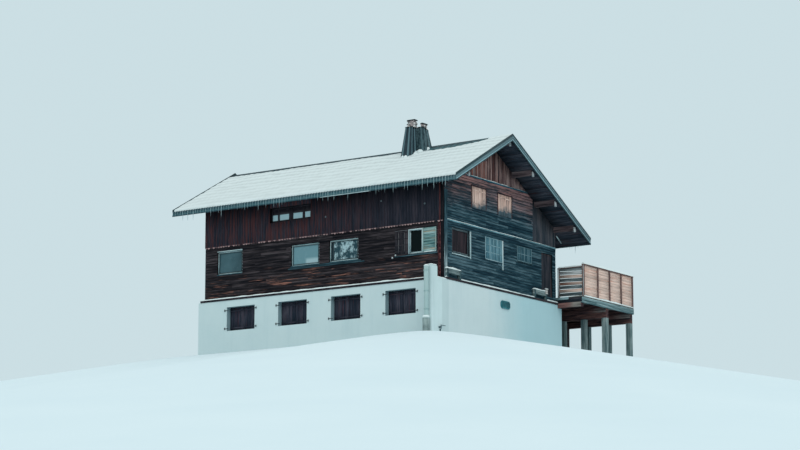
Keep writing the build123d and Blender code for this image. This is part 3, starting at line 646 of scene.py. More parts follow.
class CHALET_OT_stage(bpy.types.Operator):
    """Makes the camera, the pale hillside floor, the world and the soft lamps"""

    bl_idname = "chalet.stage"
    bl_label = "Stage"

    def execute(self, context):
        context.scene.view_settings.view_transform = "Standard"
        camera = bpy.data.cameras.new("camera")
        camera.sensor_width, camera.lens = FILM, LENS
        camera.clip_start, camera.clip_end = 1.0, 1500.0
        yaw, pitch = [math.radians(angle) for angle in CAMERA_TURN]
        forward = (math.sin(yaw) * math.cos(pitch), math.cos(yaw) * math.cos(pitch), math.sin(pitch))
        holder = self.aimed("camera", camera, forward)
        holder.location = CAMERA_PLACE
        context.scene.camera = holder
        self.make_floor()
        self.make_sky(context.scene)
        for name, direction, strength, angle in (
            ("sun", (0.62, 0.72, -0.85), 0.75, 35), ("fill", (0.9, -0.2, -0.35), 0.2, 60),
        ):
            lamp = bpy.data.lights.new(name, "SUN")
            lamp.energy, lamp.angle = strength, math.radians(angle)
            lamp.color = (1.0, 0.98, 0.95)
            self.aimed(name, lamp, direction)
        return {"FINISHED"}

    def aimed(self, name, data, direction):
        """Puts a camera or a lamp into the scene, turned to look along a direction."""
        holder = bpy.data.objects.new(name, data)
        holder.rotation_mode = "QUATERNION"
        holder.rotation_quaternion = Vector(direction).to_track_quat("-Z", "Y")
        bpy.context.scene.collection.objects.link(holder)
        return holder

    def make_floor(self):
        """A hilltop: level under the house, then falling all round, steeper than the camera looks up.

        The fall is slope * d^2 / (d + 1.2) with d the distance outside the house, the terrace and the pier.
        """
        reach = np.concatenate([np.linspace(0, 24, 121), np.geomspace(26, 700, 40)])
        line = np.concatenate([-reach[:0:-1], reach])
        plan = np.stack(np.meshgrid(line, line, indexing="ij"), axis=-1)
        distance = np.inf
        for low, high in (
            ((-0.35, MASONRY_FRONT), (WIDTH + 0.35, LENGTH + 0.12)),
            ((WIDTH, TERRACE_FRONT), (TERRACE_END, 2.2)),
            ((-1.5, MASONRY_FRONT), (0, 0.27)),
        ):
            gap = np.maximum(np.maximum(HOUSE[:2] + low - plan, plan - (HOUSE[:2] + high)), 0)
            distance = np.minimum(distance, np.hypot(gap[..., 0], gap[..., 1]))
        fall = -math.tan(math.radians(11.5)) * distance**2 / (distance + 1.2)
        shape = Shape()
        shape.sheet(np.concatenate([plan, fall[..., None]], axis=-1) - HOUSE)
        look = Look("floor", 0.9)
        spot = look.place()
        look.join(Base_Color=look.mix(look.noise(spot, 0.15, 3), (0.66, 0.80, 0.85), (0.60, 0.75, 0.81)))
        look.bump(look.noise(spot, 2.0), 0.1, 0.01)
        shape.link("floor", look, 180)

    def make_sky(self, scene):
        """Even light from all round, and a pale background for camera, gloss and glass."""
        scene.world = bpy.data.worlds.new("sky")
        scene.world.use_nodes = True
        tree = scene.world.node_tree
        tree.nodes.clear()
        path = node(tree, "LightPath").outputs
        seen = path["Is Camera Ray"]
        for ray in ("Is Glossy Ray", "Is Transmission Ray"):
            seen = node(tree, "Math", {0: seen, 1: path[ray]}, operation="MAXIMUM").outputs[0]
        light, view = [
            node(tree, "Background", {"Color": shade, "Strength": strength}).outputs[0]
            for shade, strength in (((0.96, 1.0, 1.0), 0.86), ((0.60, 0.735, 0.775), 1.0))
        ]
        mixed = node(tree, "MixShader", {0: seen, 1: light, 2: view})
        node(tree, "OutputWorld", {0: mixed.outputs[0]})


# Walls


class CHALET_OT_masonry(bpy.types.Operator):
    """Finishes the rendered storey, the corner pier with its pipe, the vent and the tap"""

    bl_idname = "chalet.masonry"
    bl_label = "Masonry storey"

    def execute(self, context):
        base = tint("render")
        stain = (0.27, 0.43, 0.48)
        # the render darkens towards the right as painted shade
        wall = plaster("render", base * (1.08, 1.04, 1.04), stain, 0.18, far_shade=((0.38, 0.58, 0.63), 3.3, 6.6))
        paint(wall, "right_masonry_wall", "front_masonry_wall", "back_masonry_wall")
        # the left wall's render is a darker copy of the render as painted shade, and its reveals are darker
        # still as painted shade
        sides = ((0.22, 0.33, 0.37), -0.345, -0.33)
        paint(plaster("left render", base * 0.96, stain, 0.18, reveal_shade=sides), "left_masonry_wall")
        paint(plaster("pier render", base * 1.1, (0.24, 0.36, 0.37), 0.3, 0.5), "corner_pier")
        paint(plaster("slab", (0.32, 0.34, 0.34), (0.2, 0.22, 0.22), 0.4), "ground_floor")
        below = ((0.14, 0.20, 0.205), -2.06)
        paint(metal("pipe", (0.30, 0.44, 0.45), (0.40, 0.52, 0.52), 0.55, wear=0.7, below=below), "pier_pipe")
        paint(metal("vent", (0.015, 0.13, 0.16), (0.04, 0.22, 0.25), 0.5, 0.0, 8.0), "wall_vent")
        self.make_collars()
        self.make_louvres()
        self.make_tap()
        return {"FINISHED"}

    def make_collars(self):
        """Collars round the pipe: short turned rings at its steps."""
        shape = Shape(3)
        for z, r in ((0.02, 0.125), (-0.9, 0.12), (-1.7, 0.125)):
            shape.turned((-1.31, 0.075, z), (0, 0, 1), [r - 0.01, r, r, r - 0.01], [0, 0.008, 0.06, 0.07], 20)
        look = metal("collar", (0.22, 0.36, 0.37), (0.4, 0.5, 0.5), 0.5)
        shape.make("pipe_collars", look, "pipe_grey", smooth=40)

    def make_louvres(self):
        """The vent's sloping slats and its thin frame."""
        shape = Shape(5)
        front = front_face(-0.18)
        front.rows(shape, [(4.58, 5.14, z, z + 0.035) for z in np.arange(-0.87, -0.64, 0.055)],
                   0.014, tone=0.2)
        front.columns(shape, [(x, x + 0.03, -0.88, -0.63) for x in (4.55, 5.14)], 0.018, tone=0.8)
        look = metal("louvre", (0.008, 0.075, 0.095), (0.03, 0.17, 0.20), 0.5, 0.0, 8.0)
        shape.make("vent_louvres", look, "vent_paint")

    def make_tap(self):
        """A wall tap: a flange, a short spout, its lever, and the pipe below it."""
        shape = Shape(4)
        x, y, z = -0.60, MASONRY_FRONT, -2.40
        shape.turned((x, y, z), (0, -1, 0), [0.045, 0.045, 0.03, 0.03, 0.02],
                     [-0.01, 0.015, 0.02, 0.12, 0.125], 14)
        shape.turned((x, y - 0.1, z - 0.09), (0, 0, 1), [0.022, 0.022, 0.03, 0.03], [0, 0.07, 0.08, 0.15])
        shape.turned((x - 0.02, y - 0.1, z + 0.09), (1, 0, 0), [0.012, 0.014, 0.014, 0.012],
                     [0, 0.02, 0.36, 0.38], 10)
        shape.turned((x + 0.06, y - 0.02, GROUND), (0, 0, 1), [0.03, 0.03], [0, 0.22])
        look = metal("tap metal", (0.03, 0.07, 0.09), (0.08, 0.14, 0.16), 0.35, 0.8)
        shape.make("wall_tap", look, "pipe_grey", smooth=40)


class CHALET_OT_gable_logs(bpy.types.Operator):
    """Clads the front gable in level logs, with upright boards at its right-hand end and its top"""

    bl_idname = "chalet.gable_logs"
    bl_label = "Gable logs and boards"

    def execute(self, context):
        size, base = sizes(), tint("gable_logs")
        # the walls behind the logs are painted nearly black as painted shade in the joints between the logs
        joint_shade = timber("gable joints", base * 0.08, base * 0.14, base * 0.3, 0)
        paint(joint_shade, "front_lower_wall", "front_upper_wall")
        paint(joint_shade, "wall_beside_door", "wall_over_door", "door_sill_beam")
        # the boards behind the top boards are painted nearly black as painted shade in their gaps
        backing_shade = timber("gable backing", (0.004, 0.006, 0.008), (0.01, 0.01, 0.013), (0.03, 0.026, 0.026), 2)
        paint(backing_shade, "front_gable_boards")
        self.make_logs(size, base)
        self.make_right_boards(size)
        self.make_top_boards(size)
        return {"FINISHED"}

    def make_logs(self, size, base):
        """Level logs between the ledge and the top band, their ends cut along the roof."""
        shape = Shape(11)
        lower = courses(0.23, WIDTH, SILL_TOP, MID_BAND, size.log_height, (3.5, 7.0), shape.random)
        GABLE.rows(shape, cut(lower, GABLE_LOW + [DOORWAY]), size.log_depth, 0.0, LOG_GAP, log)
        upper = courses(0.0, BOARDS_START, MID_BAND + BAND, TOP_BAND, size.log_height, (3.5, 7.0),
                        shape.random)
        upper = cut(upper, GABLE_HIGH)
        level, high = [[c for c in upper if (c[3] > under_roof(0.0)) == above] for above in (False, True)]
        GABLE.rows(shape, level, size.log_depth, 0.0, LOG_GAP, log)
        GABLE.gable_rows(shape, high, size.log_depth, LOG_GAP)
        look = timber(
            "weathered logs", (0.0030, 0.018, 0.031), base * (0.80, 0.95, 0.95), (0.082, 0.150, 0.182),
            tone=0.9,
            accent=((0.32, 0.175, 0.165), 0.62, 2, 3.7, 4.9), fade=((0.050, 0.050, 0.058), 2, 3.2, 4.6),
        )
        shape.make("gable_logs", look, "grey_logs", smooth=50)

    def make_right_boards(self, size):
        """Upright boards from the mid band to the roof at the gable's right-hand end."""
        shape = Shape(12)
        wide, foot = size.board_width, MID_BAND + BAND
        edges = np.arange(BOARDS_START, WIDTH - 0.05, wide)
        cells = [(u, min(u + wide, WIDTH), foot, under_roof(u + 0.08)) for u in edges]
        GABLE.columns(shape, cells, size.board_depth, 0.0, JOINT, (0, -RISE))
        look = timber("brown boards", (0.018, 0.030, 0.040), (0.046, 0.054, 0.068),
                      (0.10, 0.095, 0.105), tone=0.9)
        shape.make("right_gable_boards", look, "grey_logs")

    def make_top_boards(self, size):
        """Upright boards in the triangle over the top band."""
        shape = Shape(13)
        foot, wide = TOP_BAND + BAND, 0.105
        reach = gable_reach(foot)
        edges = np.arange(RIDGE_X - reach + 0.1, RIDGE_X + reach - 0.1, wide)
        for side in (1, -1):
            cells = [(u, u + wide, foot, under_roof(u + wide / 2)) for u in edges
                     if (u + wide / 2 < RIDGE_X) == (side > 0)]
            cells = [c for c in cells if c[3] - c[2] > 0.05]
            depth = size.board_depth + shape.random.uniform(0, 0.012, len(cells))
            GABLE.columns(shape, cells, depth, 0.0, JOINT, (0, side * RISE))
        look = timber(
            "red boards", (0.006, 0.010, 0.016), (0.090, 0.056, 0.058), (0.36, 0.26, 0.24), tone=1.1,
            streak=1.6,
            accent=((0.26, 0.090, 0.064), 0.66, 0, 5.6, 2.2), fade=((0.046, 0.050, 0.058), 0, 3.0, 2.1),
        )
        shape.make("top_gable_boards", look, "red_boards")


class CHALET_OT_side_walls(bpy.types.Operator):
    """Clads the left wall in logs below and upright boards with cut ends above"""

    bl_idname = "chalet.side_walls"
    bl_label = "Left wall"

    def execute(self, context):
        size, base = sizes(), tint("side_logs")
        # the walls behind the left logs and boards are painted nearly black as painted shade in their joints and
        # gaps
        paint(timber("left joints", base * 0.1, base * 0.2, base * 0.4, 1), "left_lower_wall")
        behind = timber("left boards behind in shade", (0.002, 0.003, 0.004), (0.005, 0.006, 0.008),
                        (0.02, 0.02, 0.024), 2)
        paint(behind, "left_upper_wall")
        self.make_logs(size, base)
        self.make_boards(size)
        self.make_corner()
        self.make_knobs()
        return {"FINISHED"}

    def make_logs(self, size, base):
        """Level logs from the ledge to the upper boards."""
        shape = Shape(21)
        cells = courses(0.31, LENGTH, SILL_TOP, MID_BAND, size.log_height, (3.0, 6.0), shape.random)
        LEFT.rows(shape, cut(cells, LEFT_LOW), size.log_depth, 0.0, LOG_GAP, log)
        look = timber("dark logs", (0.003, 0.004, 0.007), base * 0.85, (0.060, 0.052, 0.058), tone=0.7,
                      accent=((0.26, 0.125, 0.095), 0.36, 2, 1.2, 0.75))
        shape.make("left_logs", look, "brown_logs", smooth=50)

    def make_boards(self, size):
        """Upright boards whose lower ends are cut to a rounded point, one outline each.

        An end hangs below the band by drop * sin(pi t) across the board, with t from 0 to 1.
        """
        shape = Shape(22)
        t = np.linspace(0, 1, 6)
        start = LEFT_UPPER.at(0, 0)
        for u0, u1 in pairs(np.append(np.arange(0, LENGTH - 0.05, 0.15), LENGTH)):
            depth = size.board_depth + shape.random.uniform(0, 0.01)
            foot = MID_BAND - 0.02 - shape.random.uniform(0, 0.03)
            for a, b, c, d in cut([(u0, u1, foot, under_roof(-0.06))], [ROW_WINDOW], 0.0):
                a, b = a + 0.003, b - 0.003
                drop = 0.05 if c < MID_BAND else 0.0
                lower = np.stack([a + (b - a) * t, c - drop * np.sin(math.pi * t)], axis=1)
                outline = np.concatenate([lower, [(b, d), (a, d)]])
                shape.bars(start, start + LEFT_UPPER.out * depth, LEFT_UPPER.along, LEFT_UPPER.up, outline)
        shape.make("left_upper_boards", self.board_look(), "dark_boards")

    def board_look(self):
        """Dark boards with red streaks further back, whose lower ends are bleached unevenly."""
        look = timber("dark boards", (0.010, 0.014, 0.022), (0.0185, 0.0215, 0.0325), (0.042, 0.038, 0.050),
                      2, 0.9, accent=((0.062, 0.026, 0.029), 0.7, 1, 2.5, 8.0))
        before = look.sockets["Base Color"].links[0].from_socket
        low = look.spread(look.local(2), MID_BAND - 0.022, MID_BAND - 0.050)
        bleached = look.times(low, look.spread(look.attribute("tone"), 0.05, 0.6))
        look.join(Base_Color=look.mix(bleached, before, (0.46, 0.30, 0.30)))
        return look

    def make_corner(self):
        """The corner post: a dark board, then a narrow red one, notched where the log ends meet it."""
        shape, red = Shape(23), Shape(24)
        low, top, notch = MID_BAND - 0.02, 4.5, 0.137
        LEFT.columns(shape, [(0.0, 0.15, SILL_TOP, MID_BAND + 0.1)], 0.045, tone=0.0)
        LEFT_UPPER.columns(shape, [(-0.02, 0.12, low, top)], 0.045, tone=0.0)
        look = timber("corner post", (0.003, 0.005, 0.008), (0.009, 0.010, 0.014), (0.03, 0.026, 0.03))
        shape.make("corner_posts", look, "brown_logs")
        feet = enumerate(np.arange(SILL_TOP, MID_BAND, notch))
        LEFT.columns(red, [(0.155, 0.225 + 0.03 * (n % 2), z, z + notch - 0.005) for n, z in feet], 0.036)
        LEFT_UPPER.columns(red, [(0.13, 0.21, low, top)], 0.034)
        LEFT.columns(red, [(0.262, 0.306, SILL_TOP, MID_BAND)], 0.030)
        look = timber("red post", (0.02, 0.010, 0.014), (0.075, 0.026, 0.030), (0.17, 0.07, 0.065), tone=1.2)
        red.make("corner_laths", look, "brown_logs")

    def make_knobs(self):
        """Three pale turned knobs on the upper boards: a stem with a round head."""
        shape = Shape(25)
        radii, heights = [0.016, 0.016, 0.042, 0.042, 0.025], [0, 0.045, 0.05, 0.07, 0.085]
        for y, z in ((3.31, 3.669), (0.947, 3.305), (6.412, 3.265)):
            shape.turned(LEFT_UPPER.at(y, z), (-1, 0, 0), radii, heights, 14)
        shape.make("wall_knobs", metal("knob paint", (0.07, 0.10, 0.12), (0.14, 0.18, 0.20)),
                   "pipe_grey", smooth=40)


class CHALET_OT_rear_walls(bpy.types.Operator):
    """Clads the right and the back wall in level boards, with upright boards over their corners"""

    bl_idname = "chalet.rear_walls"
    bl_label = "Right and back walls"

    def execute(self, context):
        size = sizes()
        solid = timber("rear wall", (0.01, 0.015, 0.019), (0.02, 0.024, 0.03), (0.04, 0.045, 0.05), 2)
        paint(solid, "right_timber_wall", "back_timber_wall")
        shape, corners = Shape(31), Shape(32)
        under = under_roof(WIDTH)
        cells = courses(0.0, LENGTH, SILL_TOP, under, size.log_height, (3.0, 6.0), shape.random)
        RIGHT.rows(shape, cut(cells, RIGHT_WINDOWS), size.log_depth, 0.0, JOINT, log)
        cells = courses(0.0, WIDTH, SILL_TOP, 6.5, size.log_height, (3.5, 7.0), shape.random)
        BACK.gable_rows(shape, cut(cells, BACK_WINDOWS), size.log_depth, JOINT)
        look = timber("rear boards", (0.012, 0.017, 0.022), (0.036, 0.038, 0.044), (0.12, 0.10, 0.10),
                      tone=0.9, accent=((0.13, 0.07, 0.05), 0.3))
        shape.make("rear_boards", look, "rear_timber", smooth=50)
        for face, u in ((RIGHT, 0.0), (RIGHT, LENGTH - 0.2), (BACK, 0.0), (BACK, WIDTH - 0.2)):
            face.columns(corners, [(u, u + 0.2, SILL_TOP, under)], 0.034)
        look = timber("rear corner", (0.02, 0.05, 0.065), (0.04, 0.09, 0.11), (0.1, 0.17, 0.19))
        corners.make("rear_corner_boards", look, "rear_timber")
        return {"FINISHED"}


class CHALET_OT_windows(bpy.types.Operator):
    """Finishes window frames and glass, and adds sashes, glazing bars and curtains"""

    bl_idname = "chalet.windows"
    bl_label = "Windows"

    def execute(self, context):
        dull = timber("dull window paint", (0.03, 0.055, 0.065), (0.06, 0.10, 0.12), (0.13, 0.19, 0.21), 2,
                      wear=0.2, rough=0.5)
        paint(dull, "front_window_frames", "rear_window_frames")
        glass = self.glass_look()
        paint(glass, "window_glass")
        self.make_left_frames(glass)
        self.make_sashes()
        self.make_curtains()
        return {"FINISHED"}

    def glass_look(self):
        """Window glass with a look for each window: mirrored trees, a pale and a dark one, bright panes."""
        look = Look("window glass", 0.12, 0.0, IOR=1.5)
        spot = look.place()
        x, y, z = [look.local(axis) for axis in range(3)]
        cloud = look.spread(look.noise(spot, 0.8, 3), 0.3, 0.7)
        # painted reflection: this mottle mixes dark and pale in the glass of one left window as trees mirrored
        # in it, and also varies the roughness
        mottle = look.spread(look.noise(spot, 3.6, 6, 0.72), 0.47, 0.58)
        shade = look.mix(cloud, (0.016, 0.050, 0.064), (0.05, 0.12, 0.145))
        mirrored = look.mix(mottle, (0.006, 0.040, 0.056), (0.30, 0.45, 0.49))
        blob = look.times(look.spread(z, 1.52, 1.40), look.within(y, 6.9, 7.6, 0.12))
        pale = look.mix(look.times(blob, 0.7), (0.11, 0.235, 0.275), (0.36, 0.52, 0.56))
        stripes = look.spread(look.noise(look.place((9, 9, 0.6)), 1.0, 3), 0.4, 0.6)
        red = look.mix(stripes, (0.010, 0.010, 0.014), (0.036, 0.024, 0.030))
        panes = look.within(y, *ROW_PANES[0])
        for pane in ROW_PANES[1:]:
            panes = look.math("MAXIMUM", panes, look.within(y, *pane))
        panes = look.times(panes, look.within(z, 3.41, 3.66, 0.02))
        row = look.mix(panes, (0.014, 0.013, 0.018), (0.36, 0.56, 0.62))
        left, front = [look.within(axis, -1.0, 0.3) for axis in (x, y)]
        dark = look.times(left, look.within(y, 0.3, 2.0))
        for side, axis, low, high, window in (
            (left, y, 4.6, 6.06, mirrored), (left, y, 6.07, 6.4, (0.006, 0.026, 0.036)),
            (left, y, 6.8, 8.6, pale),
            (left, z, 3.2, 4.2, row), (left, y, 0.3, 2.0, (0.003, 0.007, 0.008)), (front, x, 0.5, 2.2, red),
        ):
            shade = look.mix(look.times(side, look.within(axis, low, high)), shade, window)
        gloss = look.math("MULTIPLY_ADD", look.math("MAXIMUM", dark, front), -0.17, 0.2)
        look.join(Base_Color=shade, Roughness=look.math("MULTIPLY_ADD", mottle, 0.2, 0.08),
                  Specular_IOR_Level=gloss)
        return look

    def make_left_frames(self, glass):
        """The left wall's frames: a pale ring in each lower window, and a dark row window with four panes.

        The row window's glass is one old sheet: depth = 1.5 mm * sin(5 u) * sin(7 v).
        """
        off, wide = -0.11, 0.06
        pale, dark, pane = Shape(45), Shape(44), Shape(46)
        for window in LEFT_LOW:
            LEFT.ring(pale, window, wide, wide, off)
        look = timber("window paint", (0.16, 0.30, 0.33), (0.36, 0.53, 0.57), (0.50, 0.66, 0.70), tone=0.4,
                      wear=0.2, rough=0.5)
        pale.make("left_frames", look, "frame_paint", "left_window_frames")
        u, v, w, h = ROW_WINDOW
        LEFT.ring(dark, ROW_WINDOW, wide, wide, off)
        for (_, low), (high, _) in pairs(ROW_PANES):
            LEFT.columns(dark, [(low, high, v + wide, v + h - wide)], wide, off)
        LEFT.rows(dark, [(u + wide, u + w - wide, v + wide, 3.405)], wide - 0.006, off)
        look = timber("row frame", (0.006, 0.008, 0.012), (0.018, 0.018, 0.024),
                      (0.045, 0.042, 0.050), tone=0.6)
        dark.make("row_frames", look, "frame_paint")
        a, b = np.meshgrid(np.linspace(u + 0.01, u + w - 0.01, 60), np.linspace(v + 0.01, v + h - 0.01, 16),
                           indexing="ij")
        grid = LEFT.at(a, b, off + 0.042 + 0.0015 * np.sin(5 * a) * np.sin(7 * b))[::-1]
        pane.sheet(grid, grid - LEFT.out * 0.004)
        pane.make("row_glass", glass, "glass", smooth=60)

    def make_sashes(self):
        """Sash frames inside the outer frames, with glazing bars where a window has them."""
        off = -0.05
        shape, rear = Shape(41), Shape(42)
        for window in LEFT_LOW[1:]:
            LEFT.ring(shape, window, 0.03, 0.02, off, -0.058)
        u, v, w, h = LEFT_LOW[1]
        LEFT.columns(shape, [(u + w - 0.21, u + w - 0.18, v + 0.06, v + h - 0.06)], 0.02, off)
        look = timber("sash shade", (0.01, 0.02, 0.026), (0.03, 0.05, 0.06), (0.08, 0.12, 0.135),
                      wear=0.2, rough=0.5)
        shape.make("left_sashes", look, "frame_paint")
        GABLE.ring(rear, GABLE_LOW[0], 0.045, 0.02, off, -0.055)
        windows = [(RIGHT, w) for w in RIGHT_WINDOWS] + [(BACK, w) for w in BACK_WINDOWS]
        for face, window in windows:
            u, v, w, h = window
            face.ring(rear, window, 0.045, 0.02, off, -0.055)
            face.columns(rear, [(u + w / 2 - 0.03, u + w / 2 + 0.03, v + 0.09, v + h - 0.09)], 0.02, off)
            for a in (u + 0.1, u + 0.1 + (w / 2 - 0.07)):
                face.rows(rear, [(a, a + w / 2 - 0.13, v + h / 2 - 0.012, v + h / 2 + 0.012)], 0.018, off)
        look = timber("sash dull paint", (0.02, 0.035, 0.042), (0.05, 0.075, 0.088), (0.12, 0.17, 0.19),
                      wear=0.2, rough=0.5)
        rear.make("sashes", look, "frame_paint")

    def make_curtains(self):
        """Curtains behind the glass: a sheet with folds, depth = 20 mm * sin(folds), and a slight lean."""
        shape = Shape(43)
        for u, v, w, h in (LEFT_LOW[2], LEFT_LOW[1]):
            a, b = np.meshgrid(np.linspace(0, 1, 60), np.linspace(0, 1, 6), indexing="ij")
            depth = -0.20 - 0.02 * np.sin(a * 40 + np.sin(b * 3))
            grid = LEFT.at(u + 0.02 + (w - 0.04) * a, v + 0.02 + (h - 0.04) * b, depth)
            shape.sheet(grid, grid - LEFT.out * 0.004)
        cloth = timber("curtain", (0.2, 0.3, 0.32), (0.33, 0.45, 0.48), (0.45, 0.57, 0.6), 2, wear=0.1)
        shape.make("curtains", cloth, "frame_paint", smooth=60)


class CHALET_OT_shutters(bpy.types.Operator):
    """Makes the shutters from boards and ledges, with their hinges and pins"""

    bl_idname = "chalet.shutters"
    bl_label = "Shutters"

    def leaf(self, shape, face, cell, count, off=0.0, ledges=(), ledge=0.05, gap=0.008):
        """One leaf: upright boards side by side, with level ledges across them."""
        depth = 0.03
        u0, u1, v0, v1 = cell
        face.columns(shape, [(a, b, v0, v1) for a, b in pairs(np.linspace(u0, u1, count + 1))],
                     depth, off, gap)
        for share in ledges:
            middle = v0 + (v1 - v0) * share
            cells = [(u0 + 0.01, u1 - 0.01, middle - ledge / 2, middle + ledge / 2)]
            face.rows(shape, cells, 0.014, off + depth, tone=0.7)

    def execute(self, context):
        self.make_masonry_shutters()
        self.make_front_shutters()
        self.make_left_shutters()
        return {"FINISHED"}

    def make_masonry_shutters(self):
        """Dark double shutters in the masonry windows, standing back from the wall's face, and their pins."""
        shape, iron = Shape(51), Shape(52)
        for u, v, w, h in MASONRY_WINDOWS:
            for a, b in ((u, u + w / 2 - 0.004), (u + w / 2 + 0.004, u + w)):
                self.leaf(shape, MASONRY_LEFT, (a, b, v, v + h), 4, -0.295, (0.14, 0.86))
            for edge, way in ((u, -1), (u + w, 1)):
                for z in (v + h * 0.1, v + h * 0.86):
                    centre = MASONRY_LEFT.at(edge + way * 0.10, z - 0.05, 0.03)
                    iron.turned(centre, (0, 0, 1), [0.018, 0.022, 0.022, 0.018], [0, 0.01, 0.09, 0.1], 10)
                    ends = sorted((edge - way * 0.10, edge + way * 0.10))
                    MASONRY_LEFT.rows(iron, [(*ends, z - 0.014, z + 0.014)], 0.01, 0.004)
        look = timber("shutter boards", (0.011, 0.018, 0.029), (0.026, 0.031, 0.047), (0.060, 0.060, 0.08),
                      tone=0.9, accent=((0.045, 0.020, 0.030), 0.35))
        shape.make("masonry_shutter_boards", look, "dark_shutter", "masonry_shutters")
        look = metal("shutter iron", (0.012, 0.02, 0.028), (0.03, 0.04, 0.05), 0.5, 0.3)
        iron.make("shutter_hinges", look, "dark_shutter", smooth=40)

    def make_front_shutters(self):
        """Closed shutters on the gable: a pale and a dark teal pair with laths, two beige pairs higher up."""
        pale, teal, beige, frames, laths = Shape(53), Shape(54), Shape(55), Shape(56), Shape(59)
        for shape, (u, v, w, h), count, ledges in (
            (pale, GABLE_LOW[1], 4, ()), (teal, GABLE_LOW[2], 4, ()),
            (beige, GABLE_HIGH[0], 3, (0.2, 0.84)), (beige, GABLE_HIGH[1], 3, (0.2, 0.84)),
        ):
            for a, b in ((u, u + w / 2 - 0.006), (u + w / 2 + 0.006, u + w)):
                self.leaf(shape, GABLE, (a, b, v, v + h), count, 0.0, ledges, gap=0.014)
        half, off = 0.016, 0.03
        for (u, v, w, h), up in ((GABLE_LOW[1], 4), (GABLE_LOW[2], 3)):
            for place in np.linspace(u + 0.02, u + w - 0.02, 5):
                GABLE.columns(laths, [(place - half, place + half, v + 0.01, v + h - 0.01)], 0.014, off)
            for place in np.linspace(v + 0.03, v + h - 0.03, up):
                GABLE.rows(laths, [(u + 0.01, u + w - 0.01, place - half, place + half)], 0.012, off)
        for u, v, w, h in GABLE_HIGH:
            GABLE.columns(frames, [(a, a + 0.06, v + 0.02, v + h) for a in (u - 0.06, u + w)], 0.036)
            GABLE.rows(frames, [(u - 0.08, u + w + 0.08, v + h, v + h + 0.06)], 0.045)
        look = timber("pale shutter", (0.035, 0.10, 0.13), (0.076, 0.19, 0.24), (0.17, 0.31, 0.37),
                      tone=0.8, wear=0.3)
        pale.make("pale_shutters", look, "pale_shutter", "front_shutters")
        look = timber("teal shutter", (0.010, 0.040, 0.058), (0.033, 0.090, 0.118),
                      (0.09, 0.18, 0.22), tone=0.8)
        teal.make("teal_shutters", look, "pale_shutter")
        look = timber("shutter laths", (0.10, 0.20, 0.24), (0.20, 0.34, 0.39), (0.32, 0.46, 0.51), tone=0.8,
                      wear=0.3, fade=((0.10, 0.19, 0.225), 0, 5.4, 5.6))
        laths.make("shutter_laths", look, "pale_shutter")
        look = timber("beige shutter", (0.22, 0.18, 0.17), (0.56, 0.39, 0.33), (0.78, 0.60, 0.53), tone=1.2,
                      fade=((0.072, 0.105, 0.125), 2, 3.80, 3.55))
        beige.make("beige_shutters", look, "pale_shutter")
        look = timber("red window frames", (0.010, 0.012, 0.018), (0.045, 0.026, 0.030),
                      (0.11, 0.06, 0.055), tone=0.8)
        frames.make("shutter_frames", look, "brown_logs")

    def make_left_shutters(self):
        """The left wall's closed pale leaf and the dark leaf that is open against the wall."""
        u, v, w, h = LEFT_LOW[0]
        half, off = w / 2 - 0.003, 0.03
        pale, dark, laths, holder = Shape(57), Shape(58), Shape(60), Shape(64)
        LEFT.rows(pale, [(u, u + half, a, a + h / 7) for a in np.arange(7) * h / 7 + v], off, 0.0, 0.012)
        LEFT.columns(pale, [(a, a + 0.05, v, v + h) for a in (u, u + half - 0.05)], 0.012, off, tone=0.9)
        look = timber("pale leaf", (0.035, 0.105, 0.11), (0.135, 0.26, 0.265), (0.29, 0.43, 0.43), tone=1.2,
                      accent=((0.29, 0.28, 0.22), 0.5))
        pale.make("left_pale_leaf", look, "pale_shutter", "left_closed_shutter")
        start = u + w + 0.006
        self.leaf(dark, LEFT, (start, start + half, v, v + h), 4, 0.0, (0.12, 0.38, 0.64, 0.9), 0.03)
        look = timber("dark leaf", (0.007, 0.010, 0.015), (0.019, 0.019, 0.025),
                      (0.06, 0.055, 0.062), tone=0.9)
        dark.make("left_open_leaf", look, "dark_shutter", "left_open_shutter")
        for place in (start + half * 0.3, start + half * 0.72):
            LEFT.columns(laths, [(place - 0.01, place + 0.01, v + 0.1, v + h - 0.08)], 0.012, off)
        LEFT.rows(laths, [(start, start + half, v + h - 0.03, v + h - 0.005)], 0.012, off)
        look = timber("leaf laths", (0.05, 0.052, 0.06), (0.10, 0.10, 0.11), (0.2, 0.21, 0.22), tone=0.6)
        laths.make("left_leaf_laths", look, "dark_shutter")
        for place, low in ((start + half - 0.05, v - 0.02), (start + half + 0.12, v - 0.12)):
            holder.turned(LEFT.at(place, low), (-1, 0, 0), [0.02, 0.03, 0.045, 0.03],
                          [0, 0.04, 0.06, 0.08], 10)
        look = metal("holder paint", (0.3, 0.36, 0.38), (0.45, 0.5, 0.52))
        holder.make("leaf_holders", look, "pipe_grey", smooth=40)


class CHALET_OT_door(bpy.types.Operator):
    """Finishes the entrance door's leaf and frame, and adds the boards on the leaf"""

    bl_idname = "chalet.door"
    bl_label = "Entrance door"

    def execute(self, context):
        paint(timber("door leaf", (0.008, 0.014, 0.020), (0.026, 0.030, 0.040), (0.060, 0.056, 0.066), 2),
              "entrance_door")
        paint(timber("door frame", (0.014, 0.017, 0.023), (0.046, 0.038, 0.044), (0.095, 0.075, 0.080), 2),
              "door_frame")
        low, high = [corner[0] - HOUSE[0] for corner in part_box("entrance_door")]
        shape = Shape(61)
        edges = np.linspace(low + 0.004, min(high - 0.008, low + 0.87), 7)
        cells = [(a, b, DOORWAY[1] + 0.015, 2.095) for a, b in pairs(edges)]
        front_face(0.064).columns(shape, cells, 0.007, -0.007, 0.004)
        look = timber("door boards", (0.010, 0.018, 0.025), (0.046, 0.044, 0.058),
                      (0.120, 0.088, 0.096), tone=0.9)
        shape.make("door_boards", look, "door_timber", body="door")
        return {"FINISHED"}


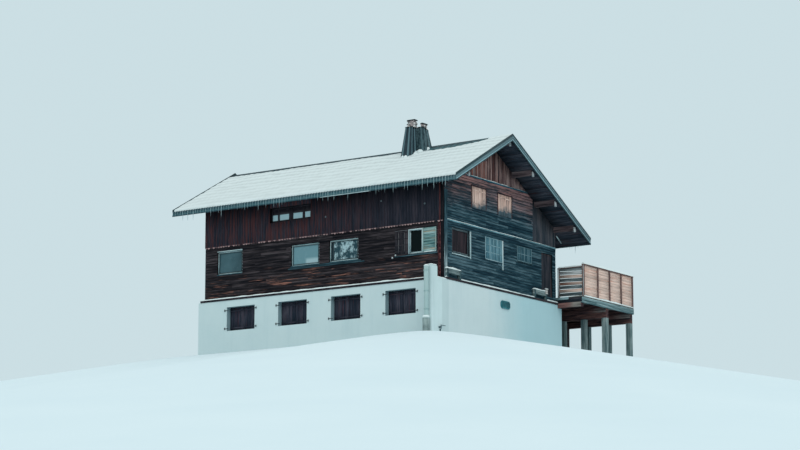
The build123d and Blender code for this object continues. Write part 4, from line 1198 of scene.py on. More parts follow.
class CHALET_OT_trims(bpy.types.Operator):
    """Finishes sill boards, bands and the corner board, and adds window trims and planter boards"""

    bl_idname = "chalet.trims"
    bl_label = "Trims and planters"

    def execute(self, context):
        base = tint("trim")
        paint(timber("corner board", base * (0.4, 0.32, 0.30), base * (0.9, 0.88, 0.84),
                     base * (3.6, 2.8, 2.5), 2, fade=(base * (5.0, 2.9, 2.3), 2, 2.2, 0.1)), "corner_board")
        paint(timber("bands", base * (0.8, 0.8, 0.7), base * (4.3, 3.5, 3.0), base * (8.0, 6.2, 5.4), 0,
                     fade=(base * (1.3, 1.6, 1.6), 2, 3.3, 4.2)), "gable_bands")
        for node_name, *look in (
            # the ledge boards under the timber storey are painted near-black as painted shade in that recess
            ("sill_boards", "ledge boards", (0.006, 0.009, 0.013), (0.018, 0.018, 0.024),
             (0.06, 0.05, 0.055)),
            ("window_sills", "sills", (0.008, 0.025, 0.035), (0.018, 0.055, 0.075), (0.05, 0.11, 0.14)),
            # the planters' core, seen below their boards, is painted dark teal as painted shade under them
            ("planters", "planter core", (0.04, 0.07, 0.08), (0.09, 0.14, 0.15), (0.2, 0.28, 0.28)),
        ):
            paint(timber(*look, 0), node_name)
        self.make_trims()
        self.make_sill_laths()
        self.make_planters()
        return {"FINISHED"}

    def make_trims(self):
        """Pale posts and laths beside the gable's windows and the left one, and the brace under the eave."""
        shape = Shape(71)
        for u, z0, z1 in ((2.07, 1.00, 2.25), (4.81, 0.86, 2.22)):
            GABLE.columns(shape, [(u, u + 0.07, z0, z1)], 0.05, tone=0.9)
        GABLE.rows(shape, [(0.6, 2.07, 1.045, 1.10)], 0.05, tone=0.8)
        u, v, w, h = LEFT_LOW[0]
        LEFT.columns(shape, [(a, a + 0.05, v, v + h) for a in (u + w - 0.04, u + w / 2 - 0.02)],
                     0.04, tone=0.9)
        LEFT.rows(shape, [(u + w / 2, u + w, v + h - 0.05, v + h)], 0.036, tone=0.9)
        LEFT.rows(shape, [(11.3, 12.8, 2.23, 2.27)], 0.02, tone=0.4)
        shape.bars((WIDTH + 0.06, -0.05, 3.14), (WIDTH + 0.49, -0.05, 2.86), (0, 1, 0), (0, 0, 1),
                   plank(0.05, 0.022))
        look = timber("pale trim", (0.16, 0.28, 0.31), (0.36, 0.50, 0.53), (0.52, 0.65, 0.68),
                      tone=0.9, wear=0.3)
        shape.make("pale_trims", look, "frame_paint")

    def make_sill_laths(self):
        """Long teal laths below the windows, dull and narrow."""
        shape = Shape(73)
        GABLE.rows(shape, [(6.0, 7.42, 1.44, 1.48), (5.9, 7.5, 1.12, 1.155), (4.9, 5.5, 0.8, 0.835)], 0.05)
        cells = [(4.3, 8.6, 1.0, 1.06), (4.5, 8.5, 1.065, 1.125), (0.35, 2.65, 1.02, 1.075),
                 (0.38, 1.9, 1.08, 1.135)]
        LEFT.rows(shape, cells, 0.05, 0.0, 0.008)
        look = timber("sill laths", (0.012, 0.034, 0.046), (0.028, 0.070, 0.092),
                      (0.09, 0.16, 0.19), tone=1.2)
        shape.make("sill_laths", look, "trim_paint")

    def make_planters(self):
        """Board sides of the planters, their feet dark as painted shade under them, and the small box beside the
        door.
        """
        shape, feet, box = Shape(72), Shape(73), Shape(74)
        y, wide = -0.145, 1.12
        front = front_face(y)
        for x in (0.02, 7.455):
            levels = [(z, z + 0.11) for z in (0.10, 0.21)]
            front.rows(shape, [(x, x + wide, *level) for level in levels], 0.016, 0.0, 0.006)
            for end, way in ((x, -1), (x + wide, 1)):
                side_face(end, way).rows(shape, [(y, -0.03, *level) for level in levels], 0.012, 0.0, 0.006)
            front.columns(feet, [(a, a + 0.09, SILL_TOP, 0.30) for a in (x, x + 1.03)], 0.02)
        look = timber("planter boards", (0.06, 0.10, 0.11), (0.16, 0.22, 0.23), (0.32, 0.40, 0.40), tone=0.8)
        shape.make("planter_boards", look, "planter_timber")
        # the feet are painted dark as painted shade under the planters
        look = timber("planter feet shade", (0.01, 0.03, 0.04), (0.03, 0.07, 0.085), (0.08, 0.14, 0.16), 2)
        feet.make("planter_feet", look, "planter_timber")
        front = front_face(-0.165)
        front.rows(box, [(8.40, 8.61, z, z + 0.075) for z in (0.20, 0.275, 0.35)], 0.02, 0.0, 0.004)
        front.rows(box, [(8.39, 8.62, 0.425, 0.445)], 0.03)
        look = timber("small box", (0.20, 0.20, 0.20), (0.42, 0.42, 0.41), (0.6, 0.62, 0.62), tone=0.8)
        box.make("small_box", look, "planter_timber")


class CHALET_OT_roof(bpy.types.Operator):
    """Makes the corrugated sheets, the soffit boards, and finishes purlins, verges and the ridge"""

    bl_idname = "chalet.roof"
    bl_label = "Roof"

    def execute(self, context):
        size = sizes()
        deck = timber("roof boards", (0.004, 0.007, 0.010), (0.010, 0.014, 0.019), (0.025, 0.027, 0.031), 1)
        paint(deck, "left_roof_deck", "right_roof_deck")
        beam = timber("beams", (0.018, 0.018, 0.023), (0.092, 0.068, 0.076), (0.20, 0.16, 0.165), 1)
        paint(beam, "ridge_beam", "wall_plates", "purlins")
        self.make_sheets(size)
        self.make_eaves()
        self.make_soffit()
        self.make_purlin_ends()
        self.make_verges(tint("verge"))
        self.make_ridge(size)
        return {"FINISHED"}

    def make_eaves(self):
        """Folded metal over the deck's lower edges: level strips, each higher one a little further out."""
        shape = Shape(85)
        for x, turn in SLOPES:
            top = float(roof_z(x))
            for low, high, depth, tone in (
                (-0.200, -0.150, 0.006, 0.0), (-0.155, -0.085, 0.011, 1.0), (-0.09, -0.03, 0.014, 0.45),
                (-0.035, 0.02, 0.017, 0.0),
            ):
                side_face(x, -turn).rows(shape, [(-VERGE, LENGTH + VERGE, top + low, top + high)],
                                         depth, tone=tone)
        look = metal("eave metal", (0.010, 0.044, 0.060), (0.07, 0.155, 0.185),
                     toned=(0.045, 0.125, 0.150), wear=0.4)
        shape.make("eave_strips", look, "verge_metal")

    def make_sheets(self, size):
        """Corrugated sheets on both slopes: height = roof line + lift + wave * cos(2 pi y / pitch)."""
        shape = Shape(81)
        y = np.linspace(-VERGE, LENGTH + VERGE, int((LENGTH + 2 * VERGE) / size.sheet_pitch * 6))
        wave = size.sheet_wave * np.cos(2 * math.pi * y / size.sheet_pitch)
        for eave, turn in SLOPES:
            gx, gy = np.meshgrid(np.linspace(eave, RIDGE_X, 3)[::turn], y, indexing="ij")
            top = np.stack([gx, gy, roof_z(gx) + SHEET_LIFT + wave[None]], axis=-1)
            shape.sheet(top, top - (0, 0, 0.007))
        look = metal("roof sheet", (0.014, 0.054, 0.070), (0.05, 0.12, 0.145))
        shape.make("roof_sheets", look, "roof_metal", "roof_sheet", 50)

    def make_soffit(self):
        """Boards under the overhangs, laid along the house, one for each 0.17 m of slope."""
        shape = Shape(82)
        pitch = 0.17 / UPRIGHT
        front, back = -VERGE, LENGTH + VERGE
        for eave, turn in SLOPES:
            spans = []
            for x in np.arange(min(eave, RIDGE_X) + 0.01, max(eave, RIDGE_X) - 0.02, pitch) + pitch / 2:
                under = (x < -0.08) if turn > 0 else (x > WIDTH + 0.03)
                spans += [(x, front, back)] if under else [(x, front, -0.001), (x, LENGTH + 0.001, back)]
            x, y0, y1 = np.array(spans).T
            z = roof_z(x) - DECK_DROP
            slope, normal = [np.array(v) / UPRIGHT for v in ((1.0, 0, turn * RISE), (turn * RISE, 0, -1.0))]
            shape.bars(np.stack([x, y0, z], 1), np.stack([x, y1, z], 1), slope, normal, plank(0.164, 0.016))
        look = timber("soffit boards", (0.008, 0.014, 0.021), (0.022, 0.031, 0.045), (0.062, 0.065, 0.082),
                      tone=0.9, accent=((0.04, 0.020, 0.024), 0.3))
        shape.make("soffit_boards", look, "roof_boards")

    def make_purlin_ends(self):
        """Pale caps over the ends of the beams, their lower corners taken off."""
        shape = Shape(83)
        section = np.array([(-0.08, 0.0), (-0.05, -0.235), (0.05, -0.235), (0.085, -0.2), (0.085, 0.0)])
        for x in (RIDGE_X, 0.30, WIDTH - 0.08, RIDGE_X + 2.0, RIDGE_X + 4.0):
            drop, share = (0.06, 1.0) if x > 1 else (0.17, 0.78)
            for y, way in ((-1.105, -1), (LENGTH + 1.105, 1)):
                start = np.array([x, y, under_roof(x) - drop])
                shape.bars(start, start + (0, 0.055 * way, 0), (1, 0, 0), (0, 0, 1), section * share)
        look = timber("beam end paint", (0.16, 0.20, 0.22), (0.33, 0.37, 0.39), (0.5, 0.54, 0.56),
                      tone=0.9, wear=0.2)
        shape.make("purlin_ends", look, "frame_paint")

    def make_verges(self, verge):
        """Folded metal along the verges: bar = eave + t (ridge - eave), at a height from the deck's top.

        The core is a broad band, with a dark cap over it and a pale and a dark fold at its foot. A pale lath
        hangs under the left eave.
        """
        shape, lath = Shape(84), Shape(86)
        for way, y in ((-1, -VERGE), (1, LENGTH + VERGE)):
            for eave, turn in SLOPES:
                upright = np.array([-turn * RISE, 0, 1.0]) / UPRIGHT
                main, fold = (0.38, 0.2) if turn > 0 else (0.20, 0.8)
                for lift, wide, back, front, tone in (
                    (-0.060, 0.200, 0.000, 0.036, main), (0.074, 0.088, 0.010, 0.055, 0.02),
                    (0.018, 0.024, 0.030, 0.046, fold), (-0.122, 0.032, 0.030, 0.055, 1.0),
                    (-0.160, 0.036, 0.000, 0.048, 0.05),
                ):
                    ends = [(x, y + way * back, float(roof_z(x)) + lift * UPRIGHT) for x in (eave, RIDGE_X)]
                    shape.bars(*ends, upright, (0, way, 0), plank(wide, front - back), (RISE, RISE), tone)
        look = metal("verge metal", verge * 0.45, verge * 1.3, 0.5, 0.0, 1.2, (0.27, 0.46, 0.52), 0.2)
        shape.make("verge_strips", look, "verge_metal", "verge_boards")
        side_face(EAVE_LEFT - 0.02).rows(lath, [(3.35, 6.1, 3.9825, 4.0175)], 0.03, tone=1.0)
        look = timber("eave lath", (0.03, 0.08, 0.10), (0.16, 0.27, 0.30), (0.36, 0.48, 0.51),
                      tone=1.6, wear=0.2)
        lath.make("eave_lath", look, "verge_metal")

    def make_ridge(self, size):
        """Ridge sheets bent over both slopes: z = crown(y) - rise * |x - ridge| + wave * cos(2 pi y / pitch).

        The left side's width grows from the front to the chimneys and is narrower behind them.
        """
        y = np.linspace(-VERGE, LENGTH + VERGE, 420)
        left = np.interp(y, (-0.6, -0.2, 0.3, 0.8, 1.45, 4.3, 4.6),
                         (0.19, 0.06, 0.27, 0.47, 0.62, 0.62, 0.46))
        crown = np.interp(y, (-0.6, -0.1, 1.45, 3.2, 4.5), (6.81, 6.880, 6.875, 6.862, 6.815))
        s = np.array([-1.0, -0.72, -0.45, -0.12, 0.0, 0.12, 0.5, 1.0])[:, None]
        reach = np.abs(s) * np.where(s < 0, left, 0.19)
        wave = 0.020 * np.cos(2 * math.pi * y / (size.sheet_pitch * 2.1)) * np.clip(reach / 0.15, 0, 1)
        z = crown - RISE * reach + wave
        top = np.stack([RIDGE_X + np.sign(s) * reach, y + 0 * z, z], -1)
        tone = np.where((s < -0.6) & (y < 3.4), 1.0, 0.0) + np.where(y < 3.4, 0.25, 0.0)
        shape = Shape(87)
        shape.sheet(top, top - (0, 0, 0.012), np.clip(tone, 0, 1))
        look = metal("ridge metal", (0.004, 0.015, 0.023), (0.02, 0.07, 0.085), 0.5, 0.0, 2.0,
                     (0.026, 0.090, 0.105), 0.3)
        shape.make("ridge_sheets", look, "roof_metal", "ridge_cap", 40)


class CHALET_OT_snow(bpy.types.Operator):
    """Lays snow on the roof, the ledges, the pier, the planters and the terrace, and hangs icicles"""

    bl_idname = "chalet.snow"
    bl_label = "Snow and ice"

    def eased(self, count):
        """Numbers from 0 to 1 that lie closer together near both ends."""
        t = np.linspace(-1, 1, count)
        return 0.5 + 0.5 * np.sign(t) * (1 - (1 - np.abs(t)) ** 1.35)

    def blanket(self, shape, corner, along, across, depth, counts, seed, rough=0.25):
        """A snow strip over a rectangle: depth * (edge rounding) * (1 + uneven waves), closed underneath.

        The rounding is 1 - (1 - s)^3 with s the distance from the nearest edge over the strip's depth.
        """
        along, across, corner, up = [np.asarray(v, float) for v in (along, across, corner, (0, 0, 1))]
        a, b = np.meshgrid(self.eased(counts[0]), self.eased(counts[1]), indexing="ij")
        base = corner + a[..., None] * along + b[..., None] * across
        long, wide = np.linalg.norm(along), np.linalg.norm(across)
        near = np.minimum(np.minimum(a, 1 - a) * long, np.minimum(b, 1 - b) * wide)
        s = np.clip(near / (depth * 1.1), 0, 1)
        bumps = waves(base, seed, (2.2, 0.7, 0.25), (rough, rough * 0.6, rough * 0.35))
        height = depth * (1 - (1 - s) ** 3) * (1 + bumps)
        # the tone follows the waves, so the strip's low places are painted darker as shade
        grids = base + np.maximum(height, 0.0)[..., None] * up, base - up * 0.004, 0.5 + 0.25 * bumps
        if np.cross(along, across)[2] < 0:
            grids = [grid[:, ::-1] for grid in grids]
        shape.sheet(*grids)

    def execute(self, context):
        size, light = sizes(), tint("snow")
        snow = snow_look("snow", light, light * 0.80)
        # the roof's snow is a darker copy of the snow as painted shade, with deeper painted shade in its low
        # rows
        self.make_roof_snow(size, snow_look("roof snow", light * 0.93, light * 0.62))
        self.make_ledge_snow(snow)
        self.make_small_snow(snow)
        self.make_icicles(size)
        return {"FINISHED"}

    def make_roof_snow(self, size, snow):
        """Snow on both slopes, with low rows across the slope that show the sheets' ends below it.

        Depth = snow depth * edge rounding * (1 + ripple + drift). Ripple = sin of the place up the slope in
        rows, with small scallops along each row that change sides from row to row, strongest near the ridge.
        The strip left bare beside the ridge is nothing at the front and widest at the chimneys.
        """
        shape = Shape(91)
        inset, whole = 0.01, LENGTH + 2 * VERGE
        for eave, turn in SLOPES:
            a, b = np.meshgrid(self.eased(70), self.eased(290), indexing="ij")
            y = inset - VERGE + (whole - 2 * inset) * b
            uneven = waves(np.stack([y, y * 0], -1), 5 + turn, (1.6, 0.5, 0.2), (0.020, 0.016, 0.012))
            shares = (0, 0.1, 0.38, 0.74, 1.0, 1.0, 0.72)
            bare = size.bare_ridge * np.interp(y, (-0.35, -0.1, 0.3, 0.8, 1.45, 4.3, 4.6), shares)
            bare = (bare if turn > 0 else np.minimum(bare, 0.14)) * (1 + uneven * 2)
            low = eave + turn * (size.snow_start + 0.25 * np.abs(uneven))
            x = low + (RIDGE_X - turn * bare - low) * a
            plan = np.stack([x, y], -1)
            slope = abs(RIDGE_X - eave) * UPRIGHT
            upper = ((1 - a) * slope + np.clip(0.6 - 8 * bare, 0, 0.6)) * 0.18 + 0.01
            near = np.minimum(np.minimum(a * slope + 0.02, upper), np.minimum(b, 1 - b) * whole + 0.03)
            s = np.clip(near / 0.11, 0, 1)
            row = (x - eave) / size.snow_row + waves(plan, 8, (3.5, 1.3), (0.16, 0.08))
            scallop = np.cos(2 * math.pi * y / size.snow_scallop + waves(plan, 6, (2.6, 0.9), (1.4, 0.7)))
            ripple = np.sin(2 * math.pi * row) + 0.5 * scallop * np.cos(math.pi * row)
            ripple *= 0.4 + 0.6 * np.clip(a * 1.6 - 0.3, 0, 1)
            drift = waves(plan, 9, (0.8, 0.3), (0.5, 0.3))
            depth = size.snow_depth * (1 - (1 - s) ** 3) * (1 + 0.13 * ripple + 0.10 * drift)
            base = roof_z(x) + SHEET_LIFT + size.sheet_wave * 0.4
            top = np.stack([x, y, base + np.maximum(depth, 0) * UPRIGHT], -1)
            # the tone follows the ripple and the drift, so the rows' low places are painted darker as shade
            grids = top, np.stack([x, y, base - 0.012], -1), 0.42 + 0.30 * ripple + 0.08 * drift
            shape.sheet(*[grid[::turn] for grid in grids])
        shape.make("roof_snow_drifts", snow, "snow", "roof_snow", 60)

    def make_ledge_snow(self, snow):
        """Strips of snow on the sill boards before the timber walls, and on the lower ledge at the right."""
        shape = Shape(92)
        for x0, x1 in ((0.0, 0.10), (1.05, 7.53), (8.50, WIDTH)):
            counts = max(12, int((x1 - x0) * 22)), 8
            self.blanket(shape, (x0, -0.148, SILL_TOP), (x1 - x0, 0, 0), (0, 0.148, 0), 0.05, counts, 7)
        for corner, wide, depth, counts, seed in (
            ((-0.378, 0.27, SILL_TOP), 0.378, 0.05, (280, 10), 8),
            ((WIDTH, 2.19, -0.33), 0.35, 0.08, (200, 10), 12),
        ):
            self.blanket(shape, corner, (0, LENGTH - corner[1], 0), (wide, 0, 0), depth, counts, seed)
        shape.make("ledge_snow_strips", snow, "snow", "ledge_snow", 60)

    def make_small_snow(self, snow):
        """Snow on the pier, its pipe, the planters, bands, railing, deck edge, chimneys and sills.

        The strips are given as corner, length, width, depth, counts, seed and roughness. The heaps at the
        chimneys are turned forms.
        """
        shape = Shape(93)
        up, proud = (0, 0, 1), 0.042
        rail, start, front, band = RAIL_TOP + 0.045, RAIL_POSTS[0], TERRACE_FRONT, TOP_BAND + BAND
        reach = gable_reach(band)
        strips = [
            ((-1.19, -0.11, 0.325), (0.45, 0, 0), (0, 0.37, 0), 0.035, (14, 12), 3),
            ((-0.73, -0.125, -0.185), (0.75, 0, 0), (0, 0.39, 0), 0.045, (18, 10), 4),
            ((0.0, -0.168, 0.315), (1.16, 0, 0), (0, 0.15, 0), 0.055, (26, 8), 5, 0.4),
            ((7.435, -0.168, 0.315), (1.16, 0, 0), (0, 0.15, 0), 0.055, (26, 8), 5, 0.4),
            ((0.23, -proud, MID_BAND + BAND), (WIDTH - 0.23, 0, 0), (0, proud, 0), 0.016, (170, 5), 6, 0.6),
            ((RIDGE_X - reach, -proud, band), (2 * reach, 0, 0), (0, proud, 0), 0.035, (130, 5), 7, 0.6),
            ((-0.055, 0.4, 1.125), (0, 1.5, 0), (0.05, 0, 0), 0.018, (60, 5), 13, 0.8),
            ((start, front - 0.02, rail), (4.8, 0, 0), (0, 0.13, 0), 0.11, (90, 10), 8, 0.15),
            ((start, front + 0.12, rail - 0.1), (0.09, 0, 0), (0, 1.3, 0), 0.06, (6, 24), 9, 0.3),
            ((start, front - 0.018, DECK_TOP), (4.8, 0, 0), (0, 0.07, 0), 0.09, (90, 6), 10, 0.3),
            ((start + 0.1, front + 0.09, DECK_TOP), (4.6, 0, 0), (0, 0.55, 0), 0.09, (80, 14), 11, 0.3),
            ((8.38, -0.2, 0.44), (0.25, 0, 0), (0, 0.06, 0), 0.03, (10, 6), 14, 0.3),
        ]
        self.blanket(shape, *strips[0])
        shape.turned((-1.31, 0.075, 0.24), up, [0.115, 0.12, 0.09, 0.03], [0, 0.02, 0.045, 0.06], 16)
        shape.turned((-1.34, 0.075, -2.06), up, [0.13, 0.158, 0.15, 0.115], [0, 0.03, 0.09, 0.11], 16)
        for strip in strips[1:]:
            self.blanket(shape, *strip)
        for x, y, r in (
            (2.80, 3.42, 0.11), (3.12, 3.36, 0.18), (3.02, 3.56, 0.15), (3.34, 3.06, 0.09),
            (2.5, 3.75, 0.10), (2.54, 3.95, 0.08),
        ):
            radii = [r * share for share in (0.98, 1.0, 0.82, 0.45, 0.1)]
            shape.turned((x, y, float(roof_z(x)) + 0.02), up, radii, [0, 0.05, 0.12, 0.165, 0.18])
        shape.make("small_snow", snow, "snow", smooth=60)

    def make_icicles(self, size):
        """Icicles on the eaves: a short one below each wave of the sheets, and long ones below some of them.

        Each is a cone with radius = r (1 - t)^0.7 that leans a little, in seeded lengths.
        """
        random = np.random.default_rng(17)
        shape = Shape(94)
        levels, sides = 5, 6
        y = np.arange(-VERGE + 0.06, LENGTH + VERGE - 0.05, size.sheet_pitch)
        count = len(y)
        below = random.uniform(-0.05, 0.02, (2, count))
        for side in range(2):
            chosen = random.permutation(count)[:min(size.icicles, count)]
            below[side, chosen] = size.icicle_length * (0.1 + 0.9 * random.uniform(0, 1, len(chosen)) ** 2.2)
        y = (np.concatenate([y, y]) + random.normal(0, 0.012, 2 * count))[:, None, None]
        below = below.reshape(-1, 1)
        edge = np.repeat((EAVE_LEFT - 0.020, EAVE_RIGHT + 0.020), count)[:, None, None]
        t = np.linspace(0, 1, levels)
        turn = np.linspace(0, 2 * math.pi, sides, endpoint=False)
        radius = (0.009 + 0.008 * np.clip(below, 0, 1) / size.icicle_length) * (1 - t) ** 0.7 + 0.0015
        lean = random.normal(0, 0.02, (2 * count, 2))[:, None, None] * t[None, :, None, None] * 0.3
        x = edge + lean[..., 0] + radius[..., None] * np.cos(turn)
        z = roof_z(edge) + 0.02 - ((below + 0.21) * t)[..., None] + 0 * x
        points = np.stack([x, y + lean[..., 1] + radius[..., None] * np.sin(turn), z], -1)
        base = np.arange(2 * count * levels).reshape(-1, levels, 1) * sides
        j = np.arange(sides)
        after = np.roll(j, -1)
        above, under = base[:, :-1], base[:, 1:]
        quads = np.stack([under + j, under + after, above + after, above + j], -1).reshape(-1, 4)
        shape.add(points, [quads, base[:, 0] + j, base[:, -1] + j[::-1]])
        ice = Look("ice", 0.15, 0.0, 0.4, IOR=1.31, Transmission_Weight=0.35)
        mottle = ice.noise(ice.place(), 30.0, 4)
        ice.join(Base_Color=ice.mix(mottle, (0.24, 0.40, 0.44), (0.50, 0.65, 0.69)))
        shape.make("icicles", ice, "snow", smooth=60)


class CHALET_OT_chimneys(bpy.types.Operator):
    """Makes the ribbed chimney skirts, their stone necks and slab caps"""

    bl_idname = "chalet.chimneys"
    bl_label = "Chimneys"

    def execute(self, context):
        heads, slabs = Shape(102), Shape(103)
        for way, seed, place, base, top, lean, height, drop, neck, (shade, scale, rib, wear) in (
            ("left", 101, (2.545, 3.505), 0.60, 0.35, -0.09, 7.65, 0.0, (2.94, 3.68, 0.23, 0.40, 0.331),
             ((0.003, 0.014, 0.024), 4.0, (0.100, 0.190, 0.220), 0.08)),
            ("right", 104, (3.14, 3.05), 0.66, 0.44, 0.12, 7.72, 0.13, (3.49, 3.39, 0.38, 0.11, 0.16),
             ((0.006, 0.024, 0.034), 9.0, (0.05, 0.105, 0.125), 0.50)),
        ):
            centre = np.array(place) + base / 2
            skirt = Shape(seed)
            self.skirt(skirt, centre, base, top, lean, height, drop)
            self.head(heads, slabs, centre + (0, lean), top, height, drop, neck)
            # rib is a painted highlight on the raised ribs, and shade the painted shade in the folds between
            # them
            look = metal("chimney skirt " + way, shade, (0.17, 0.29, 0.32), 0.5, 0.0, scale, rib, wear)
            skirt.make("chimney_skirt_" + way, look, "chimney_sheet", way + "_chimney")
        tones = [(0.05, 0.06, 0.065), (0.62, 0.55, 0.55), (0.10, 0.11, 0.115), (0.85, 0.88, 0.88),
                 (0.40, 0.34, 0.34)]
        stone = stonework("chimney stone", tones, (0.12, 0.13, 0.135), 11.0)
        heads.make("chimney_necks", stone, "chimney_stone", "chimney_heads", 50)
        slates = (0.003, 0.012, 0.016), (0.012, 0.028, 0.034)
        slab = stonework("chimney slab", slates, (0.02, 0.04, 0.045), 3.0)
        slabs.make("chimney_slabs", slab, "chimney_stone")
        return {"FINISHED"}

    def skirt(self, shape, centre, base, top, lean, height, drop):
        """A square skirt that tapers upwards and leans along y: its sides are folded sheets with ribs.

        At height t the ring is the square of side base + t (top - base) about centre + t lean, pushed out at
        a rib. The top falls by drop from its left edge to its right edge.
        """
        ribs, levels = 2, 9
        foot = float(roof_z(centre[0])) - 0.19
        s = np.linspace(0, 1, ribs * 8 + 1)[:-1]
        raised = np.mod(s * ribs + 0.80, 1.0) < 0.30
        corners = np.array([(0.0, 0), (1, 0), (1, 1), (0, 1), (0, 0)])
        ring = np.concatenate([a + s[:, None] * (b - a) for a, b in pairs(corners)]) - 0.5
        depth = np.where(raised, 0.012, -0.012)[:, None]
        push = np.concatenate([depth * (b[1] - a[1], a[0] - b[0]) for a, b in pairs(corners)])
        t = np.linspace(0, 1, levels)[:, None, None]
        plan = ring * (base + t * (top - base)) + push + centre + t * np.array([0.0, lean])
        z = foot + t * (height - foot) - drop * t * (ring[:, :1] + 0.5)
        # raised points get a high tone, painted as highlight, and the folds a low tone, painted as shade
        shape.rings(np.concatenate([plan, z], -1), np.tile(np.where(raised, 0.85, 0.05), 4 * levels))

    def head(self, heads, slabs, centre, top, height, drop, neck):
        """A neck of rough stones under a slab cap, and a thin slab that falls with the skirt's top.

        The neck's ring is a rectangle with rounded corners, moved in and out by small waves.
        """
        x, y, wide, deep, tall = neck
        t = np.linspace(0, 1, 12)
        turn = np.linspace(0, 2 * math.pi, 65)[:-1]
        radius = 0.5 * np.minimum(1 / np.maximum(np.abs(np.cos(turn)), np.abs(np.sin(turn))), 1.32)
        ring = np.stack([np.cos(turn) * radius * wide, np.sin(turn) * radius * deep], -1)
        plan = ring[None] * (1 + 0.03 * np.sin(t * 5))[:, None, None] + (x, y)
        foot = height - drop
        z = np.broadcast_to((foot + (height + tall - foot) * t)[:, None, None], plan.shape[:2] + (1,))
        points = np.concatenate([plan, z], -1)
        uneven = waves(points, 21, (0.12, 0.06), (1.0, 0.7))[..., None]
        points[..., :2] += (points[..., :2] - (x, y)) * 0.14 * uneven
        heads.rings(points)
        half, level = top / 2 + 0.012, height - 0.002
        covers = [(*centre, half, 2 * half, 0.022, level, level - drop)]
        for reach, level in ((0.022, height + tall), (0.008, height + tall + 0.026)):
            covers.append((x, y, wide / 2 + reach, deep + 2 * reach, 0.026, level, level))
        for x, y, half, broad, thick, z0, z1 in covers:
            slabs.bars((x - half, y, z0), (x + half, y, z1), (0, 1, 0), (0, 0, 1), plank(broad, thick, 0.006))


